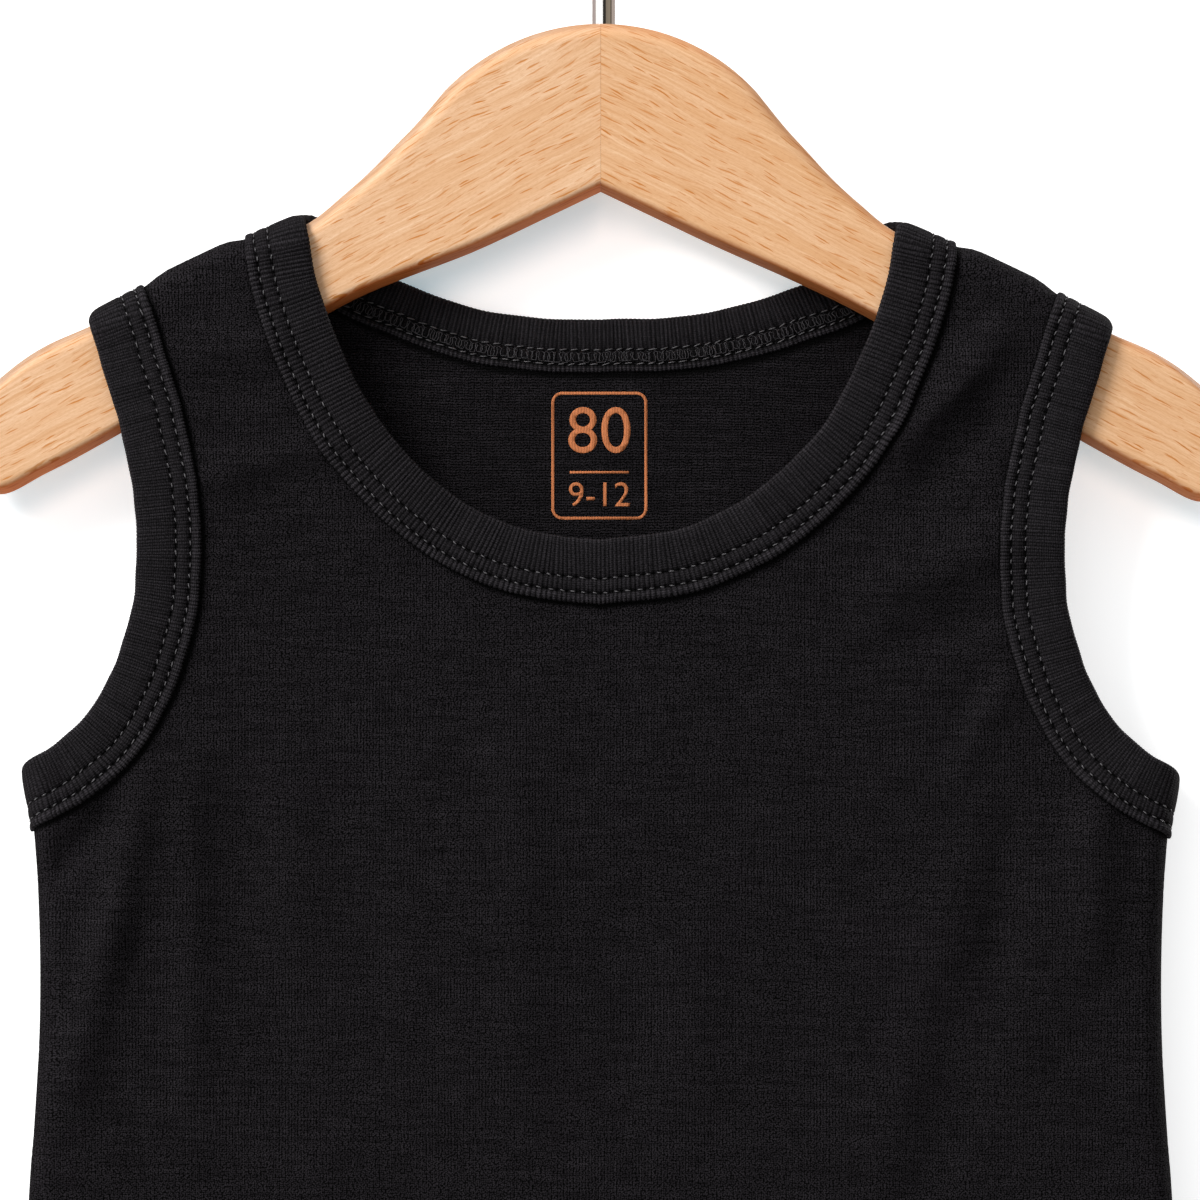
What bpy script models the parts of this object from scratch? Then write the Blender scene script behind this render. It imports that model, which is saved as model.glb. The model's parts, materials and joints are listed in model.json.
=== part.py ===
"""Sleeveless baby bodysuit hanging on a wooden baby hanger.

The garment faces -Y and hangs in the XZ plane.  The origin is the inner top of the hanger's
hook, where a rail or a peg would carry it.  Every length below is in millimetres.

The cloth is cut in a flat plane (a, b) and every cut point is then placed in space: the
plane wraps over the shoulder line at the top, round the side line at the sides and, for the
back piece, under the crotch and up inside the front flap.
"""
import math

import bmesh
import bpy
import numpy as np
from mathutils.geometry import delaunay_2d_cdt

MM = 0.001
GAP = 0.3                    # clearance between pieces at every seam

# cloth
PANEL_WALL = 1.2
BINDING_WALL = 2.4           # rib folded over the edge of the panel
BINDING_WIDTH = 13.8
BACK_NECK_WIDTH = 12.1
LATTICE = 12.0               # spacing of the points inside a panel
NECK_STEP = 7.0              # spacing of the sections along each edge
ARM_STEP = 7.5
LEG_STEP = 8.0

# shoulder line of the cloth's inner face
NECK_POINT_X = 64.3
NECK_POINT_Z = -97.9
ARM_POINT_X = 111.9
SHOULDER_SLOPE = 0.473
SHOULDER_CROWN = 0.9
SHOULDER_PUFF = 1.3          # rise of the panels between the neck and armhole bindings
TOP_RADIUS = 5.0             # roll of the cloth over the hanger

# side line of the inner face: height and half width
SIDE_LINE = (
    # z, half_width
    (-200.0, 125.4),
    (-218.0, 124.6),
    (-231.0, 122.4),
    (-251.0, 121.2),
    (-273.0, 121.1),
    (-294.0, 122.2),
    (-310.0, 123.4),
    (-350.0, 125.5),
    (-392.0, 126.7),
    (-420.0, 127.1),
)
SIDE_RADIUS = 4.2

# half depth of the hollow inside the cloth
DEPTH_OVER_HANGER = 7.0
DEPTH_HANGING = 4.5
DEPTH_FALL = 75.0            # height over which the cloth closes below the hanger
HANGER_UNDERSIDE_Z = -91.0
HANGER_UNDERSIDE_SLOPE = 0.51

# opening edges, right half: x, z in the cutting plane
NECK_FRONT = (
    (62.3, -109.0),
    (58.8, -120.5),
    (54.2, -131.0),
    (47.9, -142.0),
    (39.9, -151.0),
    (29.5, -159.1),
    (16.0, -165.0),
    (0.0, -167.0),
)
NECK_BACK = (
    (53.0, -106.0),
    (40.0, -112.3),
    (26.0, -116.6),
    (13.0, -118.3),
    (0.0, -118.7),
)
ARMHOLE = (
    (108.7, -129.0),
    (105.8, -138.5),
    (102.7, -151.0),
    (101.0, -164.0),
    (101.1, -176.0),
    (103.0, -187.0),
    (107.4, -198.6),
    (114.5, -208.8),
)
UNDERARM_Z = -218.5

# leg opening: quarter of an ellipse, then straight down the crotch
LEG_CENTRE = (135.0, -500.0)
LEG_RADII = (85.0, 94.5)
LEG_WIDTH = 13.6
FLAP_HEM_Z = -519.0
TURN_Z = -522.4              # where the back piece starts to turn under the crotch
TURN_RADIUS = 2.4
TAB_LENGTH = 34.0

# largest folds of the cloth: a soft ridge (+) or trough (-) along a line
FOLDS = (
    # side, x0, z0, x1, z1, width, depth
    ("front", 89.0, -129.0, 62.0, -147.0, 6.0, -1.3),
    ("front", 88.0, -176.0, 58.0, -181.0, 7.0, -0.8),
    ("front", -86.0, -158.0, -56.0, -146.0, 7.0, -0.9),
    ("front", -119.0, -236.0, -104.0, -214.0, 6.0, 0.9),
    ("front", -84.0, -208.0, -82.0, -270.0, 8.0, -1.2),
    ("front", -27.0, -215.0, -25.0, -300.0, 12.0, 0.9),
    ("front", 82.0, -193.0, 77.0, -218.0, 5.0, -1.0),
    ("front", 74.0, -250.0, 69.0, -330.0, 9.0, -1.2),
    ("front", 97.0, -235.0, 88.0, -300.0, 8.0, 0.9),
    ("front", -55.0, -330.0, -40.0, -440.0, 10.0, -1.1),
    ("front", 30.0, -350.0, 24.0, -450.0, 10.0, 1.0),
    ("back", 84.0, -150.0, 52.0, -168.0, 7.0, 1.2),
    ("back", -84.0, -146.0, -50.0, -160.0, 7.0, 1.0),
    ("back", 70.0, -230.0, 62.0, -340.0, 10.0, 1.2),
    ("back", -66.0, -240.0, -70.0, -350.0, 10.0, 1.1),
    ("back", 8.0, -260.0, 2.0, -400.0, 13.0, -1.0),
    ("back", -30.0, -380.0, -22.0, -460.0, 9.0, 0.9),
)

# press studs at the crotch
SNAP_X = (-24.0, 0.0, 24.0)
SNAP_Z = -507.0
SNAP_RADIUS = 4.8

# wooden hanger, right half: outline of the face, then its edges
HANGER_THICKNESS = 12.0
HANGER_EDGE = 3.2
DOME_RADIUS = 46.5
DOME_CENTRE_Z = -101.15
DOME_END_X = 34.0
HANGER_TOP = (
    (40.0, -76.7),
    (45.0, -82.0),
    (50.5, -87.8),
    (56.5, -93.2),
    (63.5, -98.8),
    (75.0, -104.5),
    (92.0, -112.4),
    (110.0, -120.8),
    (121.0, -125.6),
    (129.0, -130.9),
    (136.0, -137.6),
)
HANGER_TIP = (
    (139.6, -145.6),
    (138.2, -153.4),
)
HANGER_UNDER = (
    (131.0, -158.0),
    (121.0, -153.4),
    (110.0, -147.6),
    (80.0, -130.6),
    (53.6, -115.4),
    (27.3, -104.1),
    (13.0, -97.4),
    (0.15, -91.2),
)

# the hanger hangs a little low on its right, and the cloth with it
LEAN = 0.8
LEAN_START_X = 25.0
LEAN_END_X = 57.0

# bent wire hook
HOOK_X = 0.65
WIRE_RADIUS = 2.5
HOOK_INNER_RADIUS = 17.0
SHANK_LOW_Z = -69.0
SHANK_TOP_Z = -46.0
HOOK_START = math.radians(-62.0)
HOOK_END = math.radians(205.0)


# ---------------------------------------------------------------- curves and the cut plane

def smooth_step(t):
    t = np.clip(t, 0.0, 1.0)
    return t * t * (3.0 - 2.0 * t)


def curve_through(points, per_span=12):
    """Catmull-Rom curve through the points, as a dense polyline."""
    p = np.array(points, float)
    p = np.vstack([2.0 * p[0] - p[1], p, 2.0 * p[-1] - p[-2]])
    t = np.linspace(0.0, 1.0, per_span, endpoint=False)[:, None]
    spans = []
    for before, start, end, after in zip(p[:-3], p[1:-2], p[2:-1], p[3:]):
        spans.append(0.5 * (2.0 * start + (end - before) * t
                            + (2.0 * before - 5.0 * start + 4.0 * end - after) * t ** 2
                            + (3.0 * start - before - 3.0 * end + after) * t ** 3))
    return np.vstack(spans + [p[-2][None]])


def arc_length(line):
    steps = np.linalg.norm(np.diff(line, axis=0), axis=1)
    return np.concatenate([[0.0], np.cumsum(steps)])


def at_lengths(line, lengths):
    """Points of a polyline at the given distances along it."""
    run = arc_length(line)
    return np.stack([np.interp(lengths, run, line[:, k]) for k in range(line.shape[1])], 1)


SIDE_CURVE = curve_through(SIDE_LINE)[::-1]
TOP_RISE = (math.pi / 2.0 - 1.0) * TOP_RADIUS      # cloth taken up by the roll at the top
SIDE_RISE = (math.pi / 2.0 - 1.0) * SIDE_RADIUS


def shoulder_z(x):
    """Height of the shoulder line: a slope, a small crown and the puff between the bindings."""
    x = np.abs(x)
    t = np.clip((x - NECK_POINT_X) / (ARM_POINT_X - NECK_POINT_X), 0.0, 1.0)
    lips = (NECK_POINT_X + BINDING_WIDTH - 2.0, ARM_POINT_X - BINDING_WIDTH + 2.0)
    puff = smooth_step((x - lips[0]) / 6.0) * smooth_step((lips[1] - x) / 6.0)
    return (NECK_POINT_Z - SHOULDER_SLOPE * (x - NECK_POINT_X)
            + SHOULDER_CROWN * 4.0 * t * (1.0 - t) + SHOULDER_PUFF * puff)


def side_x(z):
    return np.interp(z, SIDE_CURVE[:, 0], SIDE_CURVE[:, 1])


def hollow_depth(x, z):
    """Half the depth of the hollow: full over the hanger, nearly closed below it."""
    below = HANGER_UNDERSIDE_Z - HANGER_UNDERSIDE_SLOPE * np.abs(x) - z
    return DEPTH_OVER_HANGER - (DEPTH_OVER_HANGER - DEPTH_HANGING) * smooth_step(below / DEPTH_FALL)


def fold_height(x, z, side):
    """Sum of the soft ridges and troughs: a bell across the line, tapering to both its ends."""
    height = np.zeros_like(x)
    for name, x0, z0, x1, z1, width, depth in FOLDS:
        if name != side:
            continue
        length = math.hypot(x1 - x0, z1 - z0)
        ux = (x1 - x0) / length
        uz = (z1 - z0) / length
        along = (x - x0) * ux + (z - z0) * uz
        across = (x - x0) * uz - (z - z0) * ux
        taper = smooth_step(along / (0.35 * length)) * smooth_step((length - along) / (0.35 * length))
        height += depth * taper * np.exp(-(across / width) ** 2)
    return height


def place(a, b, side):
    """Point of the cloth's inner face for the point (a, b) of the cutting plane."""
    sign = -1.0 if side == "front" else 1.0
    top = shoulder_z(a)
    over = np.minimum((top + TOP_RISE - b) / TOP_RADIUS, math.pi / 2.0)
    z = np.where(over < math.pi / 2.0, top - TOP_RADIUS * (1.0 - np.cos(over)), b)
    z = np.maximum(z, TURN_Z) if side == "back" else z
    edge = side_x(z)
    round_ = np.minimum((edge + SIDE_RISE - np.abs(a)) / SIDE_RADIUS, math.pi / 2.0)
    rolled = np.sign(a) * (edge - SIDE_RADIUS * (1.0 - np.cos(round_)))
    x = np.where(round_ < math.pi / 2.0, rolled, a)
    depth = hollow_depth(x, z) + fold_height(x, z, side)
    y = sign * depth * np.sin(over) * np.sin(round_)
    if side == "back":
        y, z = turn_under(y, z, b)
    return np.stack([x, y, z], -1)


def turn_under(y, z, b):
    """Carries the back piece round the crotch and up on the inner side of the front flap."""
    past = np.maximum(TURN_Z - b, 0.0)
    angle = np.minimum(past / TURN_RADIUS, math.pi)
    rise = np.maximum(past - math.pi * TURN_RADIUS, 0.0)
    return (y - TURN_RADIUS * (1.0 - np.cos(angle)),
            z - TURN_RADIUS * np.sin(angle) + rise)


def outward(a, b, side):
    """Unit normal of the cloth, pointing away from the hollow."""
    h = 0.02
    across = place(a + h, b, side) - place(a - h, b, side)
    up = place(a, b + h, side) - place(a, b - h, side)
    n = np.cross(across, up)
    n = n / np.linalg.norm(n, axis=-1, keepdims=True)
    return n if side == "front" else -n


def skin(a, b, side, height):
    """Points that stand the given height off the inner face."""
    a = np.asarray(a, float)
    b = np.asarray(b, float)
    return place(a, b, side) + outward(a, b, side) * np.asarray(height, float)[..., None]


# ---------------------------------------------------------------- edges of the openings

def fold_steps(radius, count=5):
    return np.linspace(0.0, radius * math.pi / 2.0, count + 1)


def spaced(length, spacing):
    return max(2, int(round(length / spacing)) + 1)


def away_from(points, toward):
    """Unit directions square to a line of points, on the side that the toward vector picks."""
    along = np.gradient(points, axis=0)
    along /= np.linalg.norm(along, axis=1)[:, None]
    square = np.stack([-along[:, 1], along[:, 0]], 1)
    flip = np.sign((square * np.array(toward)).sum(1))
    return square * flip[:, None]


def blend(first, second, weight):
    mixed = first * (1.0 - weight[:, None]) + second * weight[:, None]
    return mixed / np.linalg.norm(mixed, axis=1)[:, None]


def neck_edge(side):
    """Right half of the neck edge from the shoulder to the centre: points, directions, widths."""
    table = NECK_FRONT if side == "front" else NECK_BACK
    start = (NECK_POINT_X, float(shoulder_z(NECK_POINT_X)) + TOP_RISE)
    line = curve_through((start,) + table)
    total = arc_length(line)[-1]
    fold = fold_steps(TOP_RADIUS)
    lengths = np.concatenate([fold, np.linspace(fold[-1], total, spaced(total - fold[-1], NECK_STEP))[1:]])
    points = at_lengths(line, lengths)
    square = away_from(points, (0.35, -1.0))
    square[-1] = (0.0, -1.0)
    shoulder = np.array([[1.0, -SHOULDER_SLOPE]]) / math.hypot(1.0, SHOULDER_SLOPE)
    directions = blend(shoulder, square, smooth_step(lengths / 14.0))
    widths = np.full(len(lengths), BINDING_WIDTH)
    if side == "back":
        widths -= (BINDING_WIDTH - BACK_NECK_WIDTH) * smooth_step(lengths / 30.0)
    return points, directions, widths


def arm_edge(side):
    """Right armhole edge from the shoulder down to the side seam."""
    start = (ARM_POINT_X, float(shoulder_z(ARM_POINT_X)) + TOP_RISE)
    end = (float(side_x(UNDERARM_Z)) + SIDE_RISE, UNDERARM_Z)
    line = curve_through((start,) + ARMHOLE + (end,))
    total = arc_length(line)[-1]
    top = fold_steps(TOP_RADIUS)
    low = total - fold_steps(SIDE_RADIUS)[::-1] * 1.25
    middle = np.linspace(top[-1], low[0], spaced(low[0] - top[-1], ARM_STEP))[1:-1]
    lengths = np.concatenate([top, middle, low])
    points = at_lengths(line, lengths)
    square = away_from(points, (-1.0, -0.5))
    shoulder = np.array([[-1.0, SHOULDER_SLOPE]]) / math.hypot(1.0, SHOULDER_SLOPE)
    seam = np.array([[-0.2, -1.0]]) / math.hypot(0.2, 1.0)
    directions = blend(shoulder, square, smooth_step(lengths / 14.0))
    directions = blend(seam, directions, smooth_step((total - lengths) / 16.0))
    return points, directions, np.full(len(lengths), BINDING_WIDTH)


def leg_edge(side):
    """Right leg edge from the side seam to the end of the flap or of the turned-up tab."""
    cx, cz = LEG_CENTRE
    rx, rz = LEG_RADII
    seam_x = float(side_x(cz + rz)) + SIDE_RISE
    angles = np.linspace(math.asin((cx - seam_x) / rx), math.pi / 2.0, 60)
    line = np.stack([cx - rx * np.sin(angles), cz + rz * np.cos(angles)], 1)
    turned = math.pi * TURN_RADIUS
    end_z = FLAP_HEM_Z if side == "front" else TURN_Z - turned - TAB_LENGTH
    line = np.vstack([line, [(cx - rx, end_z)]])
    total = arc_length(line)[-1]
    fold = fold_steps(SIDE_RADIUS)
    to_turn = total - (TURN_Z - end_z if side == "back" else 0.0)
    lengths = np.concatenate([fold, np.linspace(fold[-1], to_turn, spaced(to_turn - fold[-1], LEG_STEP))[1:]])
    if side == "back":
        turn = to_turn + turned * np.linspace(0.0, 1.0, 9)[1:]
        tab = np.linspace(turn[-1], total, spaced(total - turn[-1], 1.6 * LEG_STEP))[1:]
        lengths = np.concatenate([lengths, turn, tab])
    points = at_lengths(line, lengths)
    square = away_from(points, (-1.0, 0.35))
    upward = np.array([[0.0, 1.0]])
    directions = blend(upward, square, smooth_step(lengths / 14.0))
    directions[points[:, 1] <= cz] = (-1.0, 0.0)
    return points, directions, np.full(len(lengths), LEG_WIDTH)


# ---------------------------------------------------------------- solids from points

def lean(x):
    """How far the hanger and the cloth stand below the level at a distance from the middle."""
    return LEAN * np.sign(x) * smooth_step((np.abs(x) - LEAN_START_X) / (LEAN_END_X - LEAN_START_X))


def make_object(name, points, faces, material):
    mesh = bpy.data.meshes.new(name)
    points = np.array(points, float)
    points[:, 2] -= lean(points[:, 0])
    mesh.from_pydata([tuple(p * MM) for p in points], [], [tuple(f) for f in faces])
    bm = bmesh.new()
    bm.from_mesh(mesh)
    bmesh.ops.recalc_face_normals(bm, faces=bm.faces)
    bm.to_mesh(mesh)
    bm.free()
    obj = bpy.data.objects.new(name, mesh)
    bpy.context.collection.objects.link(obj)
    mesh.materials.append(material)
    mesh.shade_smooth()
    mesh.set_sharp_from_angle(angle=math.radians(40.0))
    return obj


def binding_section(width):
    """Section of the folded rib: distance from the opening edge and height off the inner face."""
    round_ = 0.9
    middle = 0.5 * width
    return np.array([
        (0.0, 0.5 * BINDING_WALL),
        (round_, BINDING_WALL),
        (middle, BINDING_WALL),
        (width, BINDING_WALL),
        (width, 0.0),
        (middle, 0.0),
        (round_, 0.0),
    ])


def binding_rings(stations, side, hand):
    """One ring of section points for each station along an opening edge."""
    points, directions, widths = stations
    rings = []
    for point, direction, width in zip(points, directions, widths):
        section = binding_section(width)
        a = point[0] + direction[0] * section[:, 0]
        b = point[1] + direction[1] * section[:, 0]
        rings.append(skin(hand * a, b, side, section[:, 1]))
    return rings


def sweep(name, rings, closed, material):
    """Solid carried through a list of rings, closed on itself or capped at both ends."""
    count = len(rings[0])
    points = np.vstack(rings)
    spans = len(rings) if closed else len(rings) - 1
    faces = []
    for i in range(spans):
        here = i * count
        there = ((i + 1) % len(rings)) * count
        for k in range(count):
            n = (k + 1) % count
            faces.append((here + k, here + n, there + n, there + k))
    if not closed:
        faces.append(tuple(range(count)))
        faces.append(tuple(range(len(points) - 1, len(points) - count - 1, -1)))
    return make_object(name, points, faces, material)


def inside(points, outline):
    """True for the points inside a closed outline, by counting the sides a ray crosses."""
    x, z = points[:, 0:1], points[:, 1:2]
    x0, z0 = outline[:, 0], outline[:, 1]
    x1, z1 = np.roll(x0, -1), np.roll(z0, -1)
    spans = (z0 > z) != (z1 > z)
    rise = np.where(z1 == z0, 1.0, z1 - z0)
    return (spans & (x < x0 + (z - z0) * (x1 - x0) / rise)).sum(1) % 2 == 1


def distance_to(points, others):
    d = points[:, None, :] - others[None, :, :]
    return np.sqrt((d ** 2).sum(2)).min(1)


def lattice_points(outline, side):
    """Points inside a panel: an even lattice, and close rows where the cloth rolls over."""
    low, high = outline.min(0), outline.max(0)
    columns = np.arange(-math.floor(-low[0] / LATTICE), math.floor(high[0] / LATTICE) + 1) * LATTICE
    rows = np.arange(low[1] + 0.5 * LATTICE, high[1], LATTICE)
    grid = np.stack(np.meshgrid(columns, rows), -1).reshape(-1, 2)
    drop = shoulder_z(grid[:, 0]) + TOP_RISE - grid[:, 1]
    inset = side_x(grid[:, 1]) + SIDE_RISE - np.abs(grid[:, 0])
    clear = (drop > TOP_RADIUS * 2.2) & (inset > SIDE_RADIUS * 2.2)
    groups = [grid[clear]]
    for step in fold_steps(TOP_RADIUS, 4)[1:]:
        x = np.arange(60.0, 116.0, 5.5)
        row = np.stack([x, shoulder_z(x) + TOP_RISE - step], 1)
        groups += [row, row * (-1.0, 1.0)]
    for step in fold_steps(SIDE_RADIUS, 4)[1:]:
        z = np.arange(-408.0, -220.0, 0.8 * LATTICE)
        column = np.stack([side_x(z) + SIDE_RISE - step, z], 1)
        groups += [column, column * (-1.0, 1.0)]
    if side == "back":
        x = np.arange(-33.0, 34.0, 11.0)
        for step in np.linspace(0.0, math.pi * TURN_RADIUS, 7):
            groups.append(np.stack([x, np.full(len(x), TURN_Z - step)], 1))
        near_turn = np.abs(groups[0][:, 1] - (TURN_Z - 0.5 * math.pi * TURN_RADIUS)) < 9.0
        groups[0] = groups[0][~near_turn]
    points = np.vstack(groups)
    points = points[inside(points, outline)]
    return points[distance_to(points, outline) > 1.1]


def panel_outline(side):
    """Cut line of a panel: it stops one seam gap short of each binding and of the other panel."""
    seam = 0.5 * GAP
    neck_lip, arm_lip, leg_lip = (points + directions * (widths + GAP)[:, None]
                                  for points, directions, widths
                                  in (neck_edge(side), arm_edge(side), leg_edge(side)))
    x = np.linspace(neck_lip[0, 0], arm_lip[0, 0], 6)[1:-1]
    shoulder = np.stack([x, shoulder_z(x) + TOP_RISE], 1)
    z = np.arange(arm_lip[-1, 1] - 6.0, leg_lip[0, 1] + 4.0, -0.8 * LATTICE)
    seam_line = np.stack([side_x(z) + SIDE_RISE, z], 1)
    hem_x = np.linspace(leg_lip[-1, 0], 0.0, 4)[1:]
    hem = np.stack([hem_x, np.full(3, leg_lip[-1, 1])], 1)
    half = np.vstack([neck_lip[::-1], shoulder, arm_lip, seam_line, leg_lip, hem])
    half[:, 1] = np.minimum(half[:, 1], shoulder_z(half[:, 0]) + TOP_RISE - seam)
    half[:, 0] = np.minimum(half[:, 0], side_x(half[:, 1]) + SIDE_RISE - seam)
    return np.vstack([half, (half * (-1.0, 1.0))[-2:0:-1]])


def build_panel(name, side, material):
    """Panel cut from the plane, placed in space and given its wall."""
    outline = panel_outline(side)
    points = np.vstack([outline, lattice_points(outline, side)])
    ring = [(i, (i + 1) % len(outline)) for i in range(len(outline))]
    cut = delaunay_2d_cdt([tuple(p) for p in points], ring, [], 1, 1e-5)
    plane = np.array([tuple(v) for v in cut[0]])
    triangles = [tuple(f) for f in cut[2]]
    inner = skin(plane[:, 0], plane[:, 1], side, np.zeros(len(plane)))
    outer = skin(plane[:, 0], plane[:, 1], side, np.full(len(plane), PANEL_WALL))
    count = len(plane)
    faces = list(triangles)
    faces += [tuple(count + i for i in reversed(t)) for t in triangles]
    edges = {}
    for t in triangles:
        for i in range(3):
            edges[(t[i], t[(i + 1) % 3])] = True
    for i, j in edges:
        if (j, i) not in edges:
            faces.append((j, i, count + i, count + j))
    return make_object(name, np.vstack([inner, outer]), faces, material)


# ---------------------------------------------------------------- garment pieces

def build_neck_binding(material):
    """One closed loop of rib round the neck."""
    front = neck_edge("front")
    back = neck_edge("back")
    rings = binding_rings(front, "front", -1.0)
    rings += binding_rings(front, "front", 1.0)[-2:0:-1]
    rings += binding_rings(back, "back", 1.0)
    rings += binding_rings(back, "back", -1.0)[-2:0:-1]
    return sweep("neck_binding", rings, True, material)


def build_armhole_binding(name, hand, material):
    """One closed loop of rib round an armhole, over the shoulder and through the underarm."""
    rings = binding_rings(arm_edge("front"), "front", hand)
    rings += binding_rings(arm_edge("back"), "back", hand)[-2:0:-1]
    return sweep(name, rings, True, material)


def build_leg_binding(name, hand, material):
    """One open strip of rib from the front flap, round the leg, to the end of the back tab."""
    rings = binding_rings(leg_edge("front"), "front", hand)[::-1]
    rings += binding_rings(leg_edge("back"), "back", hand)[1:]
    return sweep(name, rings, False, material)


def lathe(name, profile, x, z, material, sides=14):
    """Round piece turned about a line along Y: profile rows are radius and y."""
    rings = []
    for radius, y in profile:
        angle = np.arange(sides) * 2.0 * math.pi / sides
        rings.append(np.stack([x + radius * np.cos(angle), np.full(sides, y),
                               z + radius * np.sin(angle)], 1))
    return sweep(name, rings, False, material)


def turned_ring(name, profile, x, z, material, sides=14):
    """Round piece with a hole: its profile is carried round the line along Y."""
    rings = []
    for k in range(sides):
        angle = k * 2.0 * math.pi / sides
        rings.append(np.array([(x + r * math.cos(angle), y, z + r * math.sin(angle))
                               for r, y in profile]))
    return sweep(name, rings, True, material)


def build_snap(number, x, material, steel):
    """Four pressed pieces of one stud: cap, socket, stud and back ring."""
    flap_out = -(DEPTH_HANGING + PANEL_WALL)
    flap_in = -DEPTH_HANGING
    tab_in = DEPTH_HANGING - 2.0 * TURN_RADIUS
    tab_out = tab_in - PANEL_WALL
    y = flap_out - GAP
    lathe(f"snap_cap_{number}",
          ((SNAP_RADIUS, y), (SNAP_RADIUS, y - 0.5), (SNAP_RADIUS - 0.6, y - 0.95),
           (2.4, y - 1.1), (1.9, y - 0.8)), x, SNAP_Z, material)
    y = flap_in + GAP
    turned_ring(f"snap_socket_{number}",
                ((SNAP_RADIUS - 0.2, y), (SNAP_RADIUS - 0.2, y + 0.5), (3.3, y + 1.3),
                 (2.1, y + 1.3), (2.1, y)), x, SNAP_Z, steel)
    y = tab_out - GAP
    lathe(f"snap_stud_{number}",
          ((SNAP_RADIUS - 0.2, y), (SNAP_RADIUS - 0.2, y - 0.3), (1.8, y - 0.6),
           (1.55, y - 1.2), (1.75, y - 1.9), (1.2, y - 2.2)), x, SNAP_Z, steel)
    y = tab_in + GAP
    turned_ring(f"snap_ring_{number}",
                ((SNAP_RADIUS - 0.3, y), (SNAP_RADIUS - 0.6, y + 0.7), (2.6, y + 0.7),
                 (2.3, y)), x, SNAP_Z, steel)


# ---------------------------------------------------------------- hanger

def hanger_outline():
    """Face of one hanger half: dome, arm, round tip, underside and the joint at the centre."""
    reach = math.asin(DOME_END_X / DOME_RADIUS)
    angle = np.linspace(math.asin(0.5 * GAP / DOME_RADIUS), reach, 8)
    dome = np.stack([DOME_RADIUS * np.sin(angle), DOME_CENTRE_Z + DOME_RADIUS * np.cos(angle)], 1)
    rest = curve_through((tuple(dome[-1]),) + HANGER_TOP + HANGER_TIP + HANGER_UNDER, 2)
    return np.vstack([dome, rest[1:]])


def build_hanger_arm(name, hand, material, bore):
    """One beech half, mitred at the centre, with rounded long edges and half the hook's bore."""
    outline = hanger_outline() * (hand, 1.0)
    half = 0.5 * HANGER_THICKNESS
    count = len(outline)
    points = np.vstack([np.stack([outline[:, 0], np.full(count, y), outline[:, 1]], 1)
                        for y in (-half, half)])
    faces = [tuple(range(count)), tuple(range(2 * count - 1, count - 1, -1))]
    faces += [(i, count + i, count + (i + 1) % count, (i + 1) % count) for i in range(count)]
    arm = make_object(name, points, faces, material)
    rim = arm.data.attributes.new("bevel_weight_edge", "FLOAT", "EDGE")
    joint_x = 0.6 * GAP * MM
    for edge in arm.data.edges:
        first, second = (arm.data.vertices[i].co for i in edge.vertices)
        on_face = abs(first.y - second.y) < MM
        on_joint = abs(first.x) < joint_x and abs(second.x) < joint_x
        rim.data[edge.index].value = 1.0 if on_face and not on_joint else 0.0
    bevel = arm.modifiers.new("rounded_edges", "BEVEL")
    bevel.limit_method = "WEIGHT"
    bevel.width = HANGER_EDGE * MM
    bevel.segments = 3
    cut = arm.modifiers.new("hook_bore", "BOOLEAN")
    cut.operation = "DIFFERENCE"
    cut.object = bore
    return arm


def build_bore():
    """Cutter for the hole that the hook's shank stands in."""
    sides = 16
    rings = []
    for z in (SHANK_LOW_Z - GAP, DOME_CENTRE_Z + DOME_RADIUS + 5.0):
        angle = np.arange(sides) * 2.0 * math.pi / sides
        radius = WIRE_RADIUS + GAP
        rings.append(np.stack([HOOK_X + radius * np.cos(angle), radius * np.sin(angle),
                               np.full(sides, z)], 1))
    bore = sweep("hook_bore_cutter", rings, False, plain("cutter", (0.5, 0.5, 0.5), 0.5, 0.0))
    bore.hide_render = True
    bore.display_type = "WIRE"
    return bore


def hook_path():
    """Straight shank, a short bend, then most of a circle with its inner top at the origin."""
    radius = HOOK_INNER_RADIUS + WIRE_RADIUS
    centre = np.array([0.0, -HOOK_INNER_RADIUS])
    angles = np.linspace(HOOK_START, HOOK_END, 26)
    circle = centre + radius * np.stack([np.cos(angles), np.sin(angles)], 1)
    t = np.linspace(0.0, 1.0, 8)[:, None]
    start = np.array([HOOK_X, SHANK_TOP_Z])
    leave = np.array([0.0, 16.0])
    arrive = 22.0 * np.array([-math.sin(HOOK_START), math.cos(HOOK_START)])
    bend = ((2 * t ** 3 - 3 * t ** 2 + 1) * start + (t ** 3 - 2 * t ** 2 + t) * leave
            + (3 * t ** 2 - 2 * t ** 3) * circle[0] + (t ** 3 - t ** 2) * arrive)
    shank = np.array([[HOOK_X, SHANK_LOW_Z], [HOOK_X, 0.5 * (SHANK_LOW_Z + SHANK_TOP_Z)]])
    return np.vstack([shank, bend, circle[1:]])


def build_hook(material):
    """Bent wire, round in section."""
    path = hook_path()
    sides = 12
    along = np.gradient(path, axis=0)
    along /= np.linalg.norm(along, axis=1)[:, None]
    angle = np.arange(sides) * 2.0 * math.pi / sides
    rings = []
    for point, tangent in zip(path, along):
        beside = np.array([tangent[1], -tangent[0]])
        offset = WIRE_RADIUS * np.cos(angle)[:, None] * beside
        rings.append(np.stack([point[0] + offset[:, 0], WIRE_RADIUS * np.sin(angle),
                               point[1] + offset[:, 1]], 1))
    return sweep("hanger_hook", rings, False, material)


# ---------------------------------------------------------------- materials and assembly

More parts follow.
